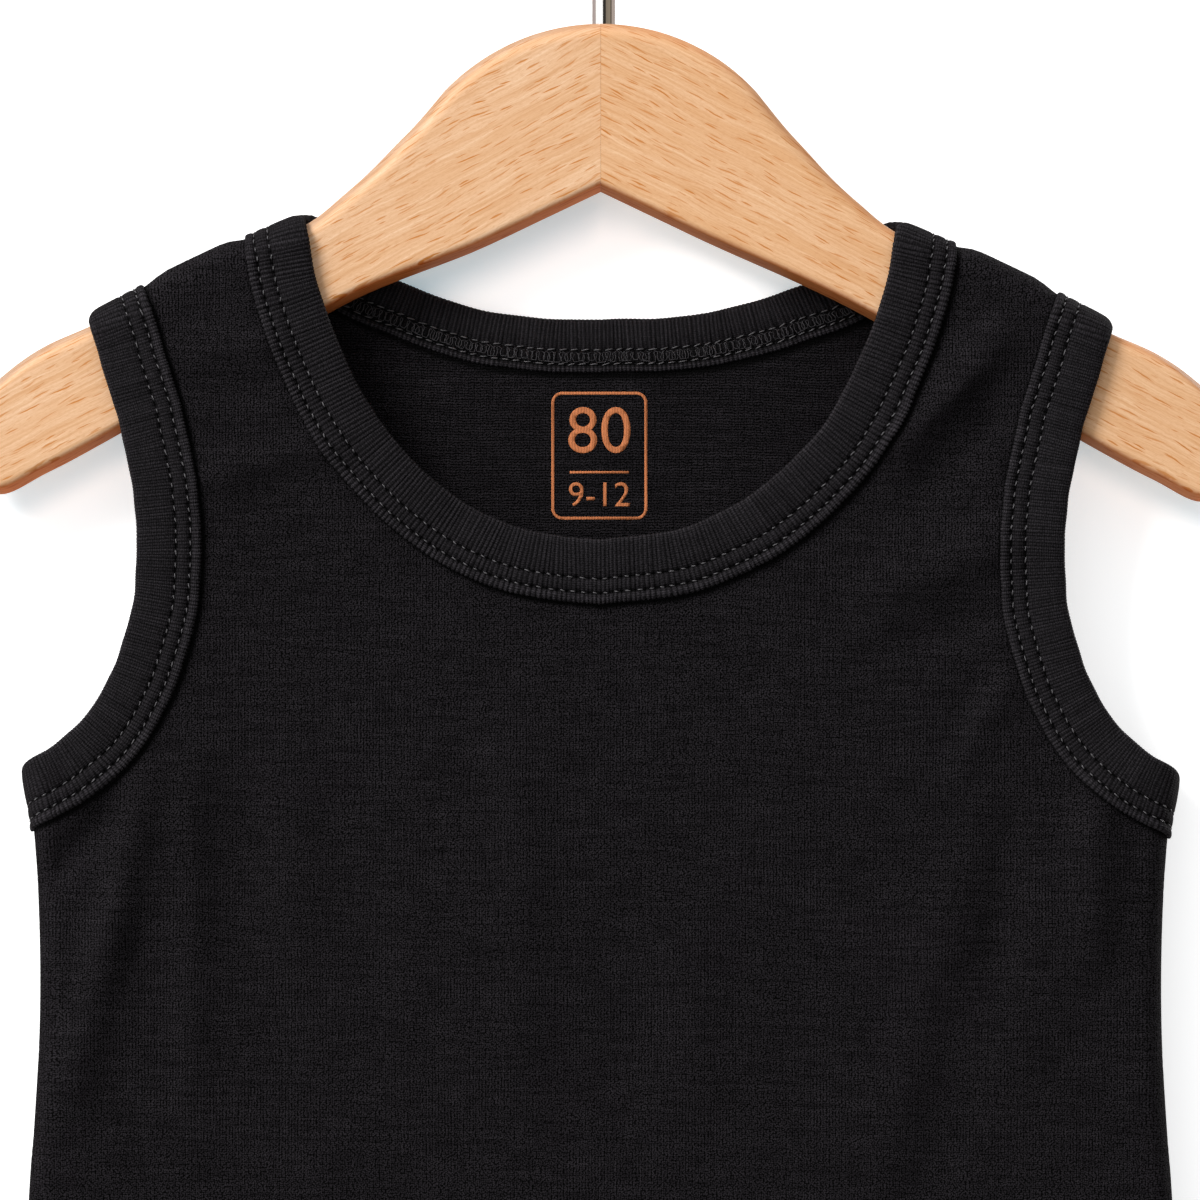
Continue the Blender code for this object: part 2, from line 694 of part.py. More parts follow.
def plain(name, colour, roughness, metallic):
    material = bpy.data.materials.new(name)
    material.use_nodes = True
    shader = material.node_tree.nodes["Principled BSDF"]
    shader.inputs["Base Color"].default_value = (*colour, 1.0)
    shader.inputs["Roughness"].default_value = roughness
    shader.inputs["Metallic"].default_value = metallic
    return material


def build():
    for obj in list(bpy.data.objects):
        bpy.data.objects.remove(obj, do_unlink=True)
    jersey = plain("black_jersey", (0.012, 0.011, 0.012), 0.9, 0.0)
    rib = plain("black_rib", (0.014, 0.013, 0.014), 0.85, 0.0)
    beech = plain("beech", (0.80, 0.50, 0.26), 0.45, 0.0)
    nickel = plain("nickel", (0.62, 0.60, 0.58), 0.18, 1.0)
    stud_black = plain("stud_black", (0.02, 0.02, 0.02), 0.35, 0.0)
    build_panel("front_panel", "front", jersey)
    build_panel("back_panel", "back", jersey)
    build_neck_binding(rib)
    for name, hand in (("left", -1.0), ("right", 1.0)):
        build_armhole_binding(f"armhole_binding_{name}", hand, rib)
        build_leg_binding(f"leg_binding_{name}", hand, rib)
    for number, x in enumerate(SNAP_X, 1):
        build_snap(number, x, stud_black, nickel)
    bore = build_bore()
    for name, hand in (("left", -1.0), ("right", 1.0)):
        build_hanger_arm(f"hanger_arm_{name}", hand, beech, bore)
    build_hook(nickel)


build()
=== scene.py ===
"""Looks of a sleeveless baby bodysuit in black jersey, hung on a beech baby hanger."""
import json
import math

import bmesh
import bpy
import numpy as np
from mathutils.geometry import delaunay_2d_cdt
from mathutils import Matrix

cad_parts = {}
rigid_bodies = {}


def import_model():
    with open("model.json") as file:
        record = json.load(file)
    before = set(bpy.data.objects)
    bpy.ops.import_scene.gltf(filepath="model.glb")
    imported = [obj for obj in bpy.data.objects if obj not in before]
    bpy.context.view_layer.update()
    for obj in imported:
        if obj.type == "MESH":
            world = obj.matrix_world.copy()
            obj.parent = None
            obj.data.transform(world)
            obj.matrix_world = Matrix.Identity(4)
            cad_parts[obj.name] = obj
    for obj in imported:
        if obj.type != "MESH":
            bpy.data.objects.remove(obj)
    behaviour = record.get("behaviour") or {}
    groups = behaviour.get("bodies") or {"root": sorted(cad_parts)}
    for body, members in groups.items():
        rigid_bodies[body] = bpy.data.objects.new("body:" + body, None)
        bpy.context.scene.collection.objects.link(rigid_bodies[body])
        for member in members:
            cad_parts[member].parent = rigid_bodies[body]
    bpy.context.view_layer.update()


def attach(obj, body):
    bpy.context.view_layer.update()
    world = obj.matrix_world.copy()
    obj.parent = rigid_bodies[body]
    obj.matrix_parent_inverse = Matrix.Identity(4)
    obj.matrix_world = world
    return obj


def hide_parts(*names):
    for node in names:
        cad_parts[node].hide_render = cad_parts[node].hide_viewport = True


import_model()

MM = 0.001                   # every length below is in millimetres


# ============================================================== beech hanger
# Two boards of steamed beech, 12 mm thick, mitred and glued at the middle.  A spindle moulder
# rounds the long edges, more on top than below, and the faces are sanded and lacquered.

def curve_through(points, per_span):
    """Catmull-Rom curve: each span is the cubic whose end slopes are half its neighbours' chord."""
    p = np.array(points, float)
    p = np.vstack([2.0 * p[0] - p[1], p, 2.0 * p[-1] - p[-2]])
    t = np.linspace(0.0, 1.0, per_span, endpoint=False)[:, None, None]
    before, start, end, after = p[:-3], p[1:-2], p[2:-1], p[3:]
    spans = 0.5 * (2.0 * start + (end - before) * t
                   + (2.0 * before - 5.0 * start + 4.0 * end - after) * t ** 2
                   + (3.0 * start - before - 3.0 * end + after) * t ** 3)
    return np.vstack([spans.transpose(1, 0, 2).reshape(-1, p.shape[1]), p[-2][None]])


def unit(vectors):
    """The same directions with length 1."""
    return vectors / np.linalg.norm(vectors, axis=-1, keepdims=True)


def arc_length(line):
    """Running distance along a polyline."""
    return np.concatenate([[0.0], np.cumsum(np.linalg.norm(np.diff(line, axis=0), axis=1))])


def resample(line, lengths):
    """Points of a polyline at given distances along it."""
    run = arc_length(line)
    return np.stack([np.interp(lengths, run, line[:, k]) for k in range(line.shape[1])], 1)


def grid_faces(rows, columns, wrap_rows, wrap_columns):
    """Quads between neighbouring points of a grid stored row by row."""
    i = np.arange(rows if wrap_rows else rows - 1)[:, None]
    k = np.arange(columns if wrap_columns else columns - 1)[None, :]
    i1, k1 = (i + 1) % rows, (k + 1) % columns
    quads = np.stack([i * columns + k, i * columns + k1, i1 * columns + k1, i1 * columns + k], -1)
    return quads.reshape(-1, 4)


def smooth_step(t):
    """Eases from 0 to 1: 3t^2 - 2t^3."""
    t = np.clip(t, 0.0, 1.0)
    return t * t * (3.0 - 2.0 * t)


# The hanger hangs a little low on its right, and the cloth with it.
LEAN = 0.8
LEAN_START_X = 25.0
LEAN_END_X = 57.0


def lean(x):
    """How far hanger and cloth stand below the level: eases to LEAN towards each end."""
    return LEAN * np.sign(x) * smooth_step((np.abs(x) - LEAN_START_X) / (LEAN_END_X - LEAN_START_X))


def new_object(name, data):
    """Object in the scene for a mesh, lamp or lens."""
    obj = bpy.data.objects.new(name, data)
    bpy.context.scene.collection.objects.link(obj)
    return obj


def mesh_object(name, points, faces, material, uv=None, shade=None):
    """Object with its place in its mesh.  uv gives a pair for each point, or for each face
    corner in turn; shade gives each point a tone from 0, dark, to 1."""
    mesh = bpy.data.meshes.new(name)
    points = np.array(points, float)
    points[:, 2] -= lean(points[:, 0])
    mesh.from_pydata((points * MM).tolist(), [], [tuple(int(v) for v in face) for face in faces])
    if uv is not None:
        if len(uv) == len(points):
            corner = np.empty(len(mesh.loops), np.int32)
            mesh.loops.foreach_get("vertex_index", corner)
            uv = uv[corner]
        mesh.uv_layers.new(name="cloth").data.foreach_set("uv", uv.astype(np.float32).ravel())
    if shade is not None:
        tone = mesh.attributes.new("shade", "FLOAT", "POINT")
        tone.data.foreach_set("value", shade.astype(np.float32).ravel())
    bm = bmesh.new()
    bm.from_mesh(mesh)
    bmesh.ops.recalc_face_normals(bm, faces=bm.faces)
    bm.to_mesh(mesh)
    bm.free()
    mesh.materials.append(material)
    mesh.shade_smooth()
    return new_object(name, mesh)


class Value:
    """Output of a node.  Sums on it add math nodes to its tree."""

    def __init__(self, nodes, socket):
        self.nodes = nodes
        self.socket = socket

    def __add__(self, other):
        return self.nodes.math("ADD", self, other)

    def __sub__(self, other):
        return self.nodes.math("SUBTRACT", self, other)

    def __rsub__(self, other):
        return self.nodes.math("SUBTRACT", other, self)

    def __mul__(self, other):
        return self.nodes.math("MULTIPLY", self, other)

    def __truediv__(self, other):
        return self.nodes.math("DIVIDE", self, other)

    def __abs__(self):
        return self.nodes.math("ABSOLUTE", self)


class Nodes:
    """Short hands for the nodes of one tree."""

    def __init__(self, tree):
        self.tree = tree

    def feed(self, node, inputs):
        """Joins outputs to a node's sockets; numbers and colours are set on the sockets."""
        for key, value in inputs.items():
            socket = node.inputs[key]
            if isinstance(value, Value):
                self.tree.links.new(value.socket, socket)
            elif socket.type == "RGBA":
                socket.default_value = (*value, 1.0)
            else:
                socket.default_value = value

    def add(self, kind, inputs=None, **settings):
        node = self.tree.nodes.new(kind)
        for key, value in settings.items():
            setattr(node, key, value)
        self.feed(node, inputs or {})
        return node

    def out(self, kind, name, inputs=None, **settings):
        """One output of a new node."""
        return Value(self, self.add(kind, inputs, **settings).outputs[name])

    def outs(self, kind, inputs=None, **settings):
        """All the outputs of a new node, by name."""
        node = self.add(kind, inputs, **settings)
        return {socket.name: Value(self, socket) for socket in node.outputs}

    def math(self, operation, *values):
        return self.out("ShaderNodeMath", 0, dict(enumerate(values)), operation=operation)

    def split(self, vector, kind="ShaderNodeSeparateXYZ"):
        """The three parts of a vector or colour."""
        return list(self.outs(kind, {0: vector}).values())

    def grey(self, value):
        return self.out("ShaderNodeCombineColor", 0, {0: value, 1: value, 2: value})

    def ramp(self, value, low, high, start=0.0, end=1.0):
        """Eases from start, where the value is low, to end, where it is high."""
        limits = {"Value": value, "From Min": low, "From Max": high, "To Min": start, "To Max": end}
        return self.out("ShaderNodeMapRange", "Result", limits, interpolation_type="SMOOTHSTEP")

    def mix(self, factor, first, second, blend="MIX"):
        return self.out("ShaderNodeMix", 2, {0: factor, 6: first, 7: second}, data_type="RGBA",
                        blend_type=blend)

    def noise(self, vector, scale, detail=2.0, roughness=0.5):
        return self.out("ShaderNodeTexNoise", "Fac", {"Vector": vector, "Scale": scale,
                                                      "Detail": detail, "Roughness": roughness})

    def mapped(self, vector, location=(0, 0, 0), rotation=(0, 0, 0), scale=(1, 1, 1)):
        return self.out("ShaderNodeMapping", "Vector", {"Vector": vector, "Location": location,
                                                        "Rotation": rotation, "Scale": scale})

    def stretched(self, flat, along, across, detail=2.0, roughness=0.5):
        """Noise with its own number of cells a millimetre along and across."""
        return self.noise(self.mapped(flat, scale=(along, across, 1.0)), 1.0, detail, roughness)

    def relief(self, height, strength, distance):
        """Normal of a bump; the distance is in metres."""
        return self.out("ShaderNodeBump", "Normal", {"Height": height, "Strength": strength,
                                                     "Distance": distance})


def new_material(name):
    """Material, its shader and the short hands of its tree."""
    material = bpy.data.materials.new(name)
    material.use_nodes = True
    return material, material.node_tree.nodes["Principled BSDF"], Nodes(material.node_tree)


def new_group(name, inputs, outputs):
    """Empty shader node group with its sockets: rows of (name, socket kind, default)."""
    group = bpy.data.node_groups.new(name, "ShaderNodeTree")
    for label, kind, default in inputs:
        socket = group.interface.new_socket(label, in_out="INPUT", socket_type=kind)
        if default is not None:
            socket.default_value = default
    for label, kind in outputs:
        group.interface.new_socket(label, in_out="OUTPUT", socket_type=kind)
    return group


def beech_grain_group():
    """Beech.  The board's place is turned so that u runs along the grain and w across it, both
    in millimetres.  Colour: wavy fibre lines over slow bands, and rays cut through as dark
    flecks: in each cell of a stretched grid a lens, |w| < thick (1 - (u / long)^2).  Height:
    the same lines and flecks as relief."""
    group = new_group("beech_grain", [("Vector", "NodeSocketVector", None)],
                      [("Color", "NodeSocketColor"), ("Height", "NodeSocketFloat")])
    n = Nodes(group)
    u, y, w = n.split(n.mapped(n.out("NodeGroupInput", "Vector"), scale=(1000.0, 1000.0, 1000.0)))
    w = w + y
    level = n.out("ShaderNodeCombineXYZ", 0, {0: u, 1: w})
    w = w + (n.stretched(level, 0.045, 0.11, 1.0) * 2.2 + n.stretched(level, 0.28, 0.55) * 0.55)
    flat = n.out("ShaderNodeCombineXYZ", 0, {0: u, 1: w})
    band = n.stretched(flat, 0.012, 0.30, 3.0, 0.6)
    line = n.stretched(flat, 0.055, 1.9, 3.0, 0.6)
    pore = n.stretched(flat, 0.9, 5.5, 2.0, 0.6)
    colour = n.mix(n.ramp(band, 0.32, 0.68), (0.765, 0.430, 0.220), (0.825, 0.500, 0.285))
    colour = n.mix(n.ramp(line, 0.28, 0.56, 0.70, 0.0), colour, (0.660, 0.325, 0.138))
    colour = n.mix(n.ramp(line, 0.54, 0.72, 0.0, 0.55), colour, (0.910, 0.615, 0.380))
    colour = n.mix(n.ramp(pore, 0.34, 0.50, 0.34, 0.0), colour, (0.620, 0.285, 0.115))
    flecks = []
    for shift, cell_long, cell_thick, share, long_, thick, ink in (
            (0.0, 7.6, 1.7, 0.70, 3.4, 0.18, 1.00), (31.0, 5.2, 1.5, 0.42, 2.3, 0.13, 0.85)):
        spot = n.mapped(flat, location=(shift, shift, 0.0), scale=(1.0 / cell_long, 1.0 / cell_thick, 1.0))
        cell = n.outs("ShaderNodeTexVoronoi", {"Vector": spot, "Scale": 1.0, "Randomness": 0.8},
                      voronoi_dimensions="2D", feature="F1")
        away = n.split(n.out("ShaderNodeVectorMath", 0, {0: spot, 1: cell["Position"]}, operation="SUBTRACT"))
        chance = n.split(cell["Color"], "ShaderNodeSeparateColor")
        du = away[0] * (cell_long / long_) / (chance[1] * 0.65 + 0.45)
        dw = away[1] * cell_thick + away[0] * cell_long * ((chance[2] - 0.5) * 0.16)
        lens = n.ramp((1.0 - du * du) * thick - abs(dw), -0.02, 0.08)
        here = lens * n.math("LESS_THAN", chance[0], share)
        flecks.append(here * (chance[2] * (0.45 * ink) + 0.55 * ink))
    fleck = n.math("MAXIMUM", *flecks)
    n.add("NodeGroupOutput", {"Color": n.mix(fleck, colour, (0.590, 0.210, 0.045)),
                              "Height": line * 0.5 - fleck})
    return group


BEECH_GRAIN = beech_grain_group()


def beech(name, slope, offset, stain):
    """Lacquered beech whose grain rises by the slope, in degrees, tinted by the stain.  Glue
    darkens the mitre, a line at x = 0.  The rounded edges carry painted shade, darker and cooler
    where they face left and browner where they face right, and the underside a deep brown
    painted shade."""
    material, shader, n = new_material(name)
    spot = n.out("ShaderNodeTexCoord", "Object")
    turned = n.mapped(spot, location=(offset, 0.0, offset), rotation=(0.0, math.radians(slope), 0.0))
    grain = n.outs("ShaderNodeGroup", {"Vector": turned}, node_tree=BEECH_GRAIN)
    glue = n.ramp(abs(n.split(spot)[0]), 0.00004, 0.00016, 0.35, 0.0)
    right, back, up = n.split(n.out("ShaderNodeNewGeometry", "Normal"))
    # Painted shade on the rounded edges: darker and cooler where they face left, browner where they face
    # right.
    painted_edge_shade = n.mix(n.ramp(right, -0.35, 0.35), (0.70, 0.72, 0.80), (0.96, 0.83, 0.75))
    colour = n.mix(1.0, grain["Color"], stain, "MULTIPLY")
    colour = n.mix(glue, colour, (0.400, 0.160, 0.060))
    colour = n.mix(n.ramp(abs(back), 0.985, 0.62), colour, painted_edge_shade, "MULTIPLY")
    # Painted shade under the board: down-facing faces are multiplied to a deep brown.
    colour = n.mix(n.ramp(up, -0.30, -0.90), colour, (0.97, 0.52, 0.26), "MULTIPLY")
    n.feed(shader, {"Base Color": colour, "Normal": n.relief(grain["Height"], 0.2, 0.0001),
                    "Roughness": n.ramp(grain["Height"], -0.4, 0.4, 0.46, 0.36),
                    "Coat Weight": n.ramp(abs(back), 0.45, 0.85) * 0.07, "Coat Roughness": 0.16,
                    "Specular IOR Level": 0.03})
    return material


BOARD_HALF = 6.0
JOINT_HALF = 0.003
DOME_RADIUS = 46.5
DOME_CENTRE_Z = -101.15
DOME_END_X = 34.0
BOARD_TOP = ((40.0, -76.7), (45.0, -82.0), (50.5, -87.8), (56.5, -93.2), (63.5, -98.8), (75.0, -104.5),
             (92.0, -112.4), (110.0, -120.8), (121.0, -125.6), (129.0, -130.9), (136.0, -137.6),
             (139.6, -145.6))
BOARD_UNDER = ((138.2, -153.4), (131.0, -158.0), (121.0, -153.4), (110.0, -147.6), (80.0, -130.6),
               (53.6, -115.4), (27.3, -104.1), (13.0, -97.4), (JOINT_HALF, -91.2))
TOP_EDGE_ROUND = 3.4
UNDER_ROUND = 1.7             # the underside: a round of 62 degrees, then a bevel to the middle
UNDER_ROUND_TURN = math.radians(62.0)
UNDER_BEVEL = 1.25


def board_outline():
    """Dome as an arc, then a curve along the arm, round the tip and back under it to the mitre."""
    angle = np.linspace(math.asin(JOINT_HALF / DOME_RADIUS), math.asin(DOME_END_X / DOME_RADIUS), 30)
    dome = np.stack([DOME_RADIUS * np.sin(angle), DOME_CENTRE_Z + DOME_RADIUS * np.cos(angle)], 1)
    rest = curve_through((tuple(dome[-1]),) + BOARD_TOP + BOARD_UNDER, 9)
    return np.vstack([dome, rest[1:]])


def board_half(name, hand, material):
    """Profile across the board's edge, carried along the outline: flat face, edge, side, edge,
    flat face.  On top the edge is a quarter round; it eases into the underside's round and
    bevel past the tip."""
    outline = board_outline()
    along = unit(np.gradient(outline, axis=0))
    inward = np.stack([along[:, 1], -along[:, 0]], 1)
    inward[0] = (0.0, -1.0)
    inward[-1] = (0.0, 1.0 / abs(inward[-1, 1]))
    run = np.linspace(0.0, 1.0, len(outline))
    under = np.clip((run - 0.46) / 0.10, 0.0, 1.0)
    quarter = np.linspace(0.0, 0.5 * math.pi, 9)
    top_depth = TOP_EDGE_ROUND * np.concatenate([[1.25, 1.08], 1.0 - np.sin(quarter)])
    top_back = TOP_EDGE_ROUND * np.concatenate([[0.0, 0.0], 1.0 - np.cos(quarter)])
    turn = np.linspace(0.0, UNDER_ROUND_TURN, 6)
    arc_depth = UNDER_BEVEL + UNDER_ROUND * (math.sin(UNDER_ROUND_TURN) - np.sin(turn))
    arc_back = UNDER_ROUND * (1.0 - np.cos(turn))
    bevel = np.array([0.03, 0.35, 0.98])
    under_depth = np.concatenate([[4.25, 3.5], arc_depth, UNDER_BEVEL * (1.0 - bevel)])
    under_back = np.concatenate([[0.0, 0.0], arc_back, arc_back[-1] + (BOARD_HALF - arc_back[-1]) * bevel])
    depth = top_depth * (1.0 - under[:, None]) + under_depth * under[:, None]
    back = top_back * (1.0 - under[:, None]) + under_back * under[:, None]
    inset = np.hstack([depth, depth[:, ::-1]])
    x = outline[:, None, 0] + inward[:, None, 0] * inset
    z = outline[:, None, 1] + inward[:, None, 1] * inset
    y = np.hstack([back - BOARD_HALF, BOARD_HALF - back[:, ::-1]])
    points = np.stack([hand * x, y, z], -1).reshape(-1, 3)
    rows, columns = inset.shape
    first = np.arange(rows) * columns
    faces = list(grid_faces(rows, columns, False, False))
    faces.append(first)
    faces.append(first[::-1] + columns - 1)
    faces.append(np.concatenate([np.arange(columns), np.arange(columns)[::-1] + (rows - 1) * columns]))
    return mesh_object(name, points, faces, material)


def cut_bore(board, centre_x, radius, low, high):
    """Drills the hole that the hook's shank stands in, then keeps the cut mesh."""
    bm = bmesh.new()
    bmesh.ops.create_cone(bm, cap_ends=True, segments=40, radius1=radius * MM, radius2=radius * MM,
                          depth=(high - low) * MM)
    bmesh.ops.translate(bm, verts=bm.verts, vec=(centre_x * MM, 0.0, 0.5 * (high + low) * MM))
    mesh = bpy.data.meshes.new("drill")
    bm.to_mesh(mesh)
    bm.free()
    drill = new_object("drill", mesh)
    cut = board.modifiers.new("bore", "BOOLEAN")
    cut.operation = "DIFFERENCE"
    cut.object = drill
    done = board.evaluated_get(bpy.context.evaluated_depsgraph_get())
    result = bpy.data.meshes.new_from_object(done)
    board.modifiers.clear()
    board.data = result
    bpy.data.objects.remove(drill, do_unlink=True)


HOOK_X = 0.65
WIRE_RADIUS = 2.5
SHANK_LOW_Z = -69.0
BORE_PLAY = 0.25
BORE_TOP_Z = -40.0            # in the air above the dome
for side_name, hand, slope, offset, stain in (("left", -1.0, 28.0, 0.0, (0.97, 1.02, 1.10)),
                                              ("right", 1.0, -27.0, 0.37, (0.95, 0.96, 0.97))):
    board = board_half(f"beech_half_{side_name}", hand, beech(f"beech_{side_name}", slope, offset, stain))
    cut_bore(board, HOOK_X, WIRE_RADIUS + BORE_PLAY, SHANK_LOW_Z - 0.3, BORE_TOP_Z)
    board.data.shade_smooth()
    board.data.set_sharp_from_angle(angle=math.radians(40.0))
    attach(board, "root")
    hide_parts(f"hanger_arm_{side_name}")


# ============================================================== wire hook
# Mild steel wire bent cold into a shank and a round hook, then nickel plated and polished.
# Its shank is driven into the hole at the top of the hanger.

HOOK_INNER_RADIUS = 17.0
SHANK_TOP_Z = -46.0
HOOK_START = math.radians(-62.0)
HOOK_END = math.radians(205.0)


def hook_path():
    """Straight shank, a cubic bend that leaves it upright and meets the circle along its
    tangent, then the arc of the hook whose inner top is the origin."""
    radius = HOOK_INNER_RADIUS + WIRE_RADIUS
    angles = np.linspace(HOOK_START, HOOK_END, 90)
    circle = np.array([0.0, -HOOK_INNER_RADIUS]) + radius * np.stack([np.cos(angles), np.sin(angles)], 1)
    t = np.linspace(0.0, 1.0, 24)[:, None]
    start = np.array([HOOK_X, SHANK_TOP_Z])
    leave = np.array([0.0, 16.0])
    arrive = 22.0 * np.array([-math.sin(HOOK_START), math.cos(HOOK_START)])
    bend = ((2 * t ** 3 - 3 * t ** 2 + 1) * start + (t ** 3 - 2 * t ** 2 + t) * leave
            + (3 * t ** 2 - 2 * t ** 3) * circle[0] + (t ** 3 - t ** 2) * arrive)
    shank_z = np.linspace(SHANK_LOW_Z, SHANK_TOP_Z, 8, endpoint=False)
    shank = np.stack([np.full(8, HOOK_X), shank_z], 1)
    return np.vstack([shank, bend, circle[1:]])


def hook_wire(name, material):
    """Circle of the wire's section carried along the path; the free end closes in a dome."""
    path = hook_path()
    along = unit(np.gradient(path, axis=0))
    dome = np.linspace(0.0, 0.5 * math.pi, 7)[1:]
    tip = path[-1] + along[-1] * WIRE_RADIUS * 0.6 * np.sin(dome)[:, None]
    path = np.vstack([path, tip])
    along = np.vstack([along, np.repeat(along[-1:], len(dome), 0)])
    radius = np.concatenate([np.full(len(path) - len(dome), WIRE_RADIUS),
                             WIRE_RADIUS * np.maximum(np.cos(dome), 0.02)])
    turn = np.linspace(0.0, 2.0 * math.pi, 36, endpoint=False)
    side = radius[:, None] * np.cos(turn)
    x = path[:, None, 0] + side * along[:, None, 1]
    z = path[:, None, 1] - side * along[:, None, 0]
    y = radius[:, None] * np.sin(turn)
    points = np.stack([x, y, z], -1).reshape(-1, 3)
    rows, columns = len(path), len(turn)
    faces = list(grid_faces(rows, columns, False, True))
    faces += [np.arange(columns), np.arange(columns)[::-1] + (rows - 1) * columns]
    return mesh_object(name, points, faces, material)


def nickel_plate(name, roughness):
    """Polished nickel with faint draw lines and handling haze."""
    material, shader, n = new_material(name)
    spot = n.out("ShaderNodeTexCoord", "Object")
    haze = n.noise(spot, 260.0, 4.0, 0.6)
    lines = n.noise(n.mapped(spot, scale=(2600.0, 2600.0, 90.0)), 1.0, 2.0)
    n.feed(shader, {"Base Color": n.mix(haze, (0.80, 0.77, 0.74), (0.90, 0.88, 0.86)), "Metallic": 1.0,
                    "Roughness": n.ramp(haze, 0.3, 0.7, roughness, roughness + 0.05),
                    "Normal": n.relief(lines, 0.10, 0.00005)})
    return material


hook = hook_wire("nickel_hook", nickel_plate("hook_nickel", 0.05))
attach(hook, "root")
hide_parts("hanger_hook")


# ============================================================== front and back panels
# Fine black cotton single jersey.  Each panel is cut from one piece: the front ends in the
# crotch flap, the back turns under the crotch and comes up inside the flap.  They are sewn
# together at the shoulders and down the sides, and hang from the hanger in a few soft folds.

JERSEY_WALL = 1.1
NECK_POINT_X = 64.3
NECK_POINT_Z = -97.9
ARM_POINT_X = 111.9
SHOULDER_SLOPE = 0.473
SHOULDER_CROWN = 0.9
SHOULDER_PUFF = 1.3
BINDING_WIDTH = 14.0
TOP_RADIUS = 5.0
SIDE_RADIUS = 4.2
SIDE_LINE = ((-200.0, 125.5), (-218.0, 124.7), (-231.0, 122.7), (-251.0, 121.5), (-273.0, 121.4),
             (-294.0, 122.5), (-310.0, 123.7), (-350.0, 125.7), (-392.0, 126.8), (-420.0, 127.2))
SIDE_CURVE = curve_through(SIDE_LINE, 12)[::-1]
TOP_RISE = (math.pi / 2.0 - 1.0) * TOP_RADIUS
SIDE_RISE = (math.pi / 2.0 - 1.0) * SIDE_RADIUS
DEPTH_OVER_HANGER = 7.0
DEPTH_HANGING = 4.5
DEPTH_FALL = 75.0
HANGER_UNDERSIDE_Z = -91.0
HANGER_UNDERSIDE_SLOPE = 0.51
TURN_Z = -522.4
TURN_RADIUS = 2.4
TAB_LENGTH = 34.0
FLAP_HEM_Z = -519.0
CREASES_END_Z = -512.0

# Folds, each a soft ridge (+) or trough (-) along a line.
# x0, z0, x1, z1, width, depth
FOLDS = {
    "front": (
        (89, -129, 62, -147, 6, -1.3), (88, -176, 58, -181, 7, -0.8), (-86, -158, -56, -146, 7, -0.9),
        (-119, -236, -104, -214, 6, 0.9), (-84, -208, -82, -270, 8, -1.2), (-27, -215, -25, -300, 12, 0.9),
        (82, -193, 77, -218, 5, -1), (74, -250, 69, -330, 9, -1.2), (97, -235, 88, -300, 8, 0.9),
        (-55, -330, -40, -440, 10, -1.1), (30, -350, 24, -450, 10, 1),
    ),
    "back": (
        (84, -150, 52, -168, 7, 1.2), (-84, -146, -50, -160, 7, 1), (70, -230, 62, -340, 10, 1.2),
        (-66, -240, -70, -350, 10, 1.1), (8, -260, 2, -400, 13, -1), (-30, -380, -22, -460, 9, 0.9),
    ),
}

# Smaller creases that only the cloth's surface shows.
CREASES = {
    "front": (
        (94, -114, 58, -154, 4.7, 4.2), (94, -130, 62, -164, 4.2, -1.7), (97, -163, 54, -181, 6.2, 2.7),
        (92, -180, 54, -193, 3.8, -1), (92, -191, 75, -220, 3.2, 1.8), (107.5, -212, 107, -266, 5, 3.3),
        (91, -212, 84, -276, 4.6, -1.5), (81, -222, 59, -322, 7, 2), (-95, -157, -50, -145, 4.6, 2.1),
        (-98, -128, -62, -125, 4.8, 1.8), (-94, -141, -62, -139, 3.6, 0.9),
        (-126, -249, -102, -221, 3.6, -2.3), (-120, -306, -101, -234, 5, 2.9),
        (-110, -270, -96, -206, 4, 2.4), (-90, -192, -88, -310, 4.8, 2), (-77, -198, -76, -274, 4.6, -0.9),
        (-66, -202, -65, -272, 4.8, 0.8), (-43, -222, -42, -300, 5, 0.6), (-18, -190, -17, -306, 6, 1.3),
        (2, -238, 4, -310, 6, -0.8), (20, -236, 19, -312, 6, 1.1), (42, -228, 46, -310, 7, -0.6),
        (-100, -330, -84, -400, 8, -0.9), (96, -340, 82, -405, 8, -0.9), (-6, -400, -8, -480, 8, 0.8),
        (-30, -440, -24, -500, 6, -0.7), (30, -455, 26, -500, 6, -0.6),
    ),
    "back": (
        (90, -126, 66, -150, 4.6, 1.4), (92, -170, 60, -184, 5, 1.8), (108, -222, 103, -282, 5, 2.8),
        (92, -214, 86, -290, 4.6, -1.4), (76, -216, 66, -318, 6, 2), (50, -206, 44, -292, 5, -0.8),
        (30, -214, 27, -330, 6, 1.3), (4, -226, -2, -318, 6, -0.7), (-20, -202, -23, -310, 5.6, 1.1),
        (-90, -128, -66, -144, 4.8, 1.6), (-94, -158, -58, -168, 4.6, 1.5),
        (-122, -252, -100, -222, 3.8, -1.8), (-106, -226, -112, -300, 5, 2.6),
        (-88, -200, -84, -304, 4.8, 1.9), (-62, -214, -56, -290, 5, -0.8), (-42, -226, -46, -322, 6, 0.9),
        (100, -330, 78, -402, 7, 1.5), (62, -362, 46, -440, 7, -0.9), (-100, -340, -76, -406, 7, 1.4),
        (-52, -350, -44, -452, 7, 1), (22, -410, 18, -502, 6, 1), (-4, -430, -8, -506, 6, -0.7),
    ),
}


def shoulder_z(x):
    """Shoulder line: a straight slope plus a parabola that is nought at neck and arm, and a
    puff where the cloth swells up between the bindings."""
    x = np.abs(x)
    t = np.clip((x - NECK_POINT_X) / (ARM_POINT_X - NECK_POINT_X), 0.0, 1.0)
    line = NECK_POINT_Z - SHOULDER_SLOPE * (x - NECK_POINT_X) + SHOULDER_CROWN * 4.0 * t * (1.0 - t)
    lips = (NECK_POINT_X + BINDING_WIDTH - 2.0, ARM_POINT_X - BINDING_WIDTH + 2.0)
    return line + SHOULDER_PUFF * smooth_step((x - lips[0]) / 6.0) * smooth_step((lips[1] - x) / 6.0)


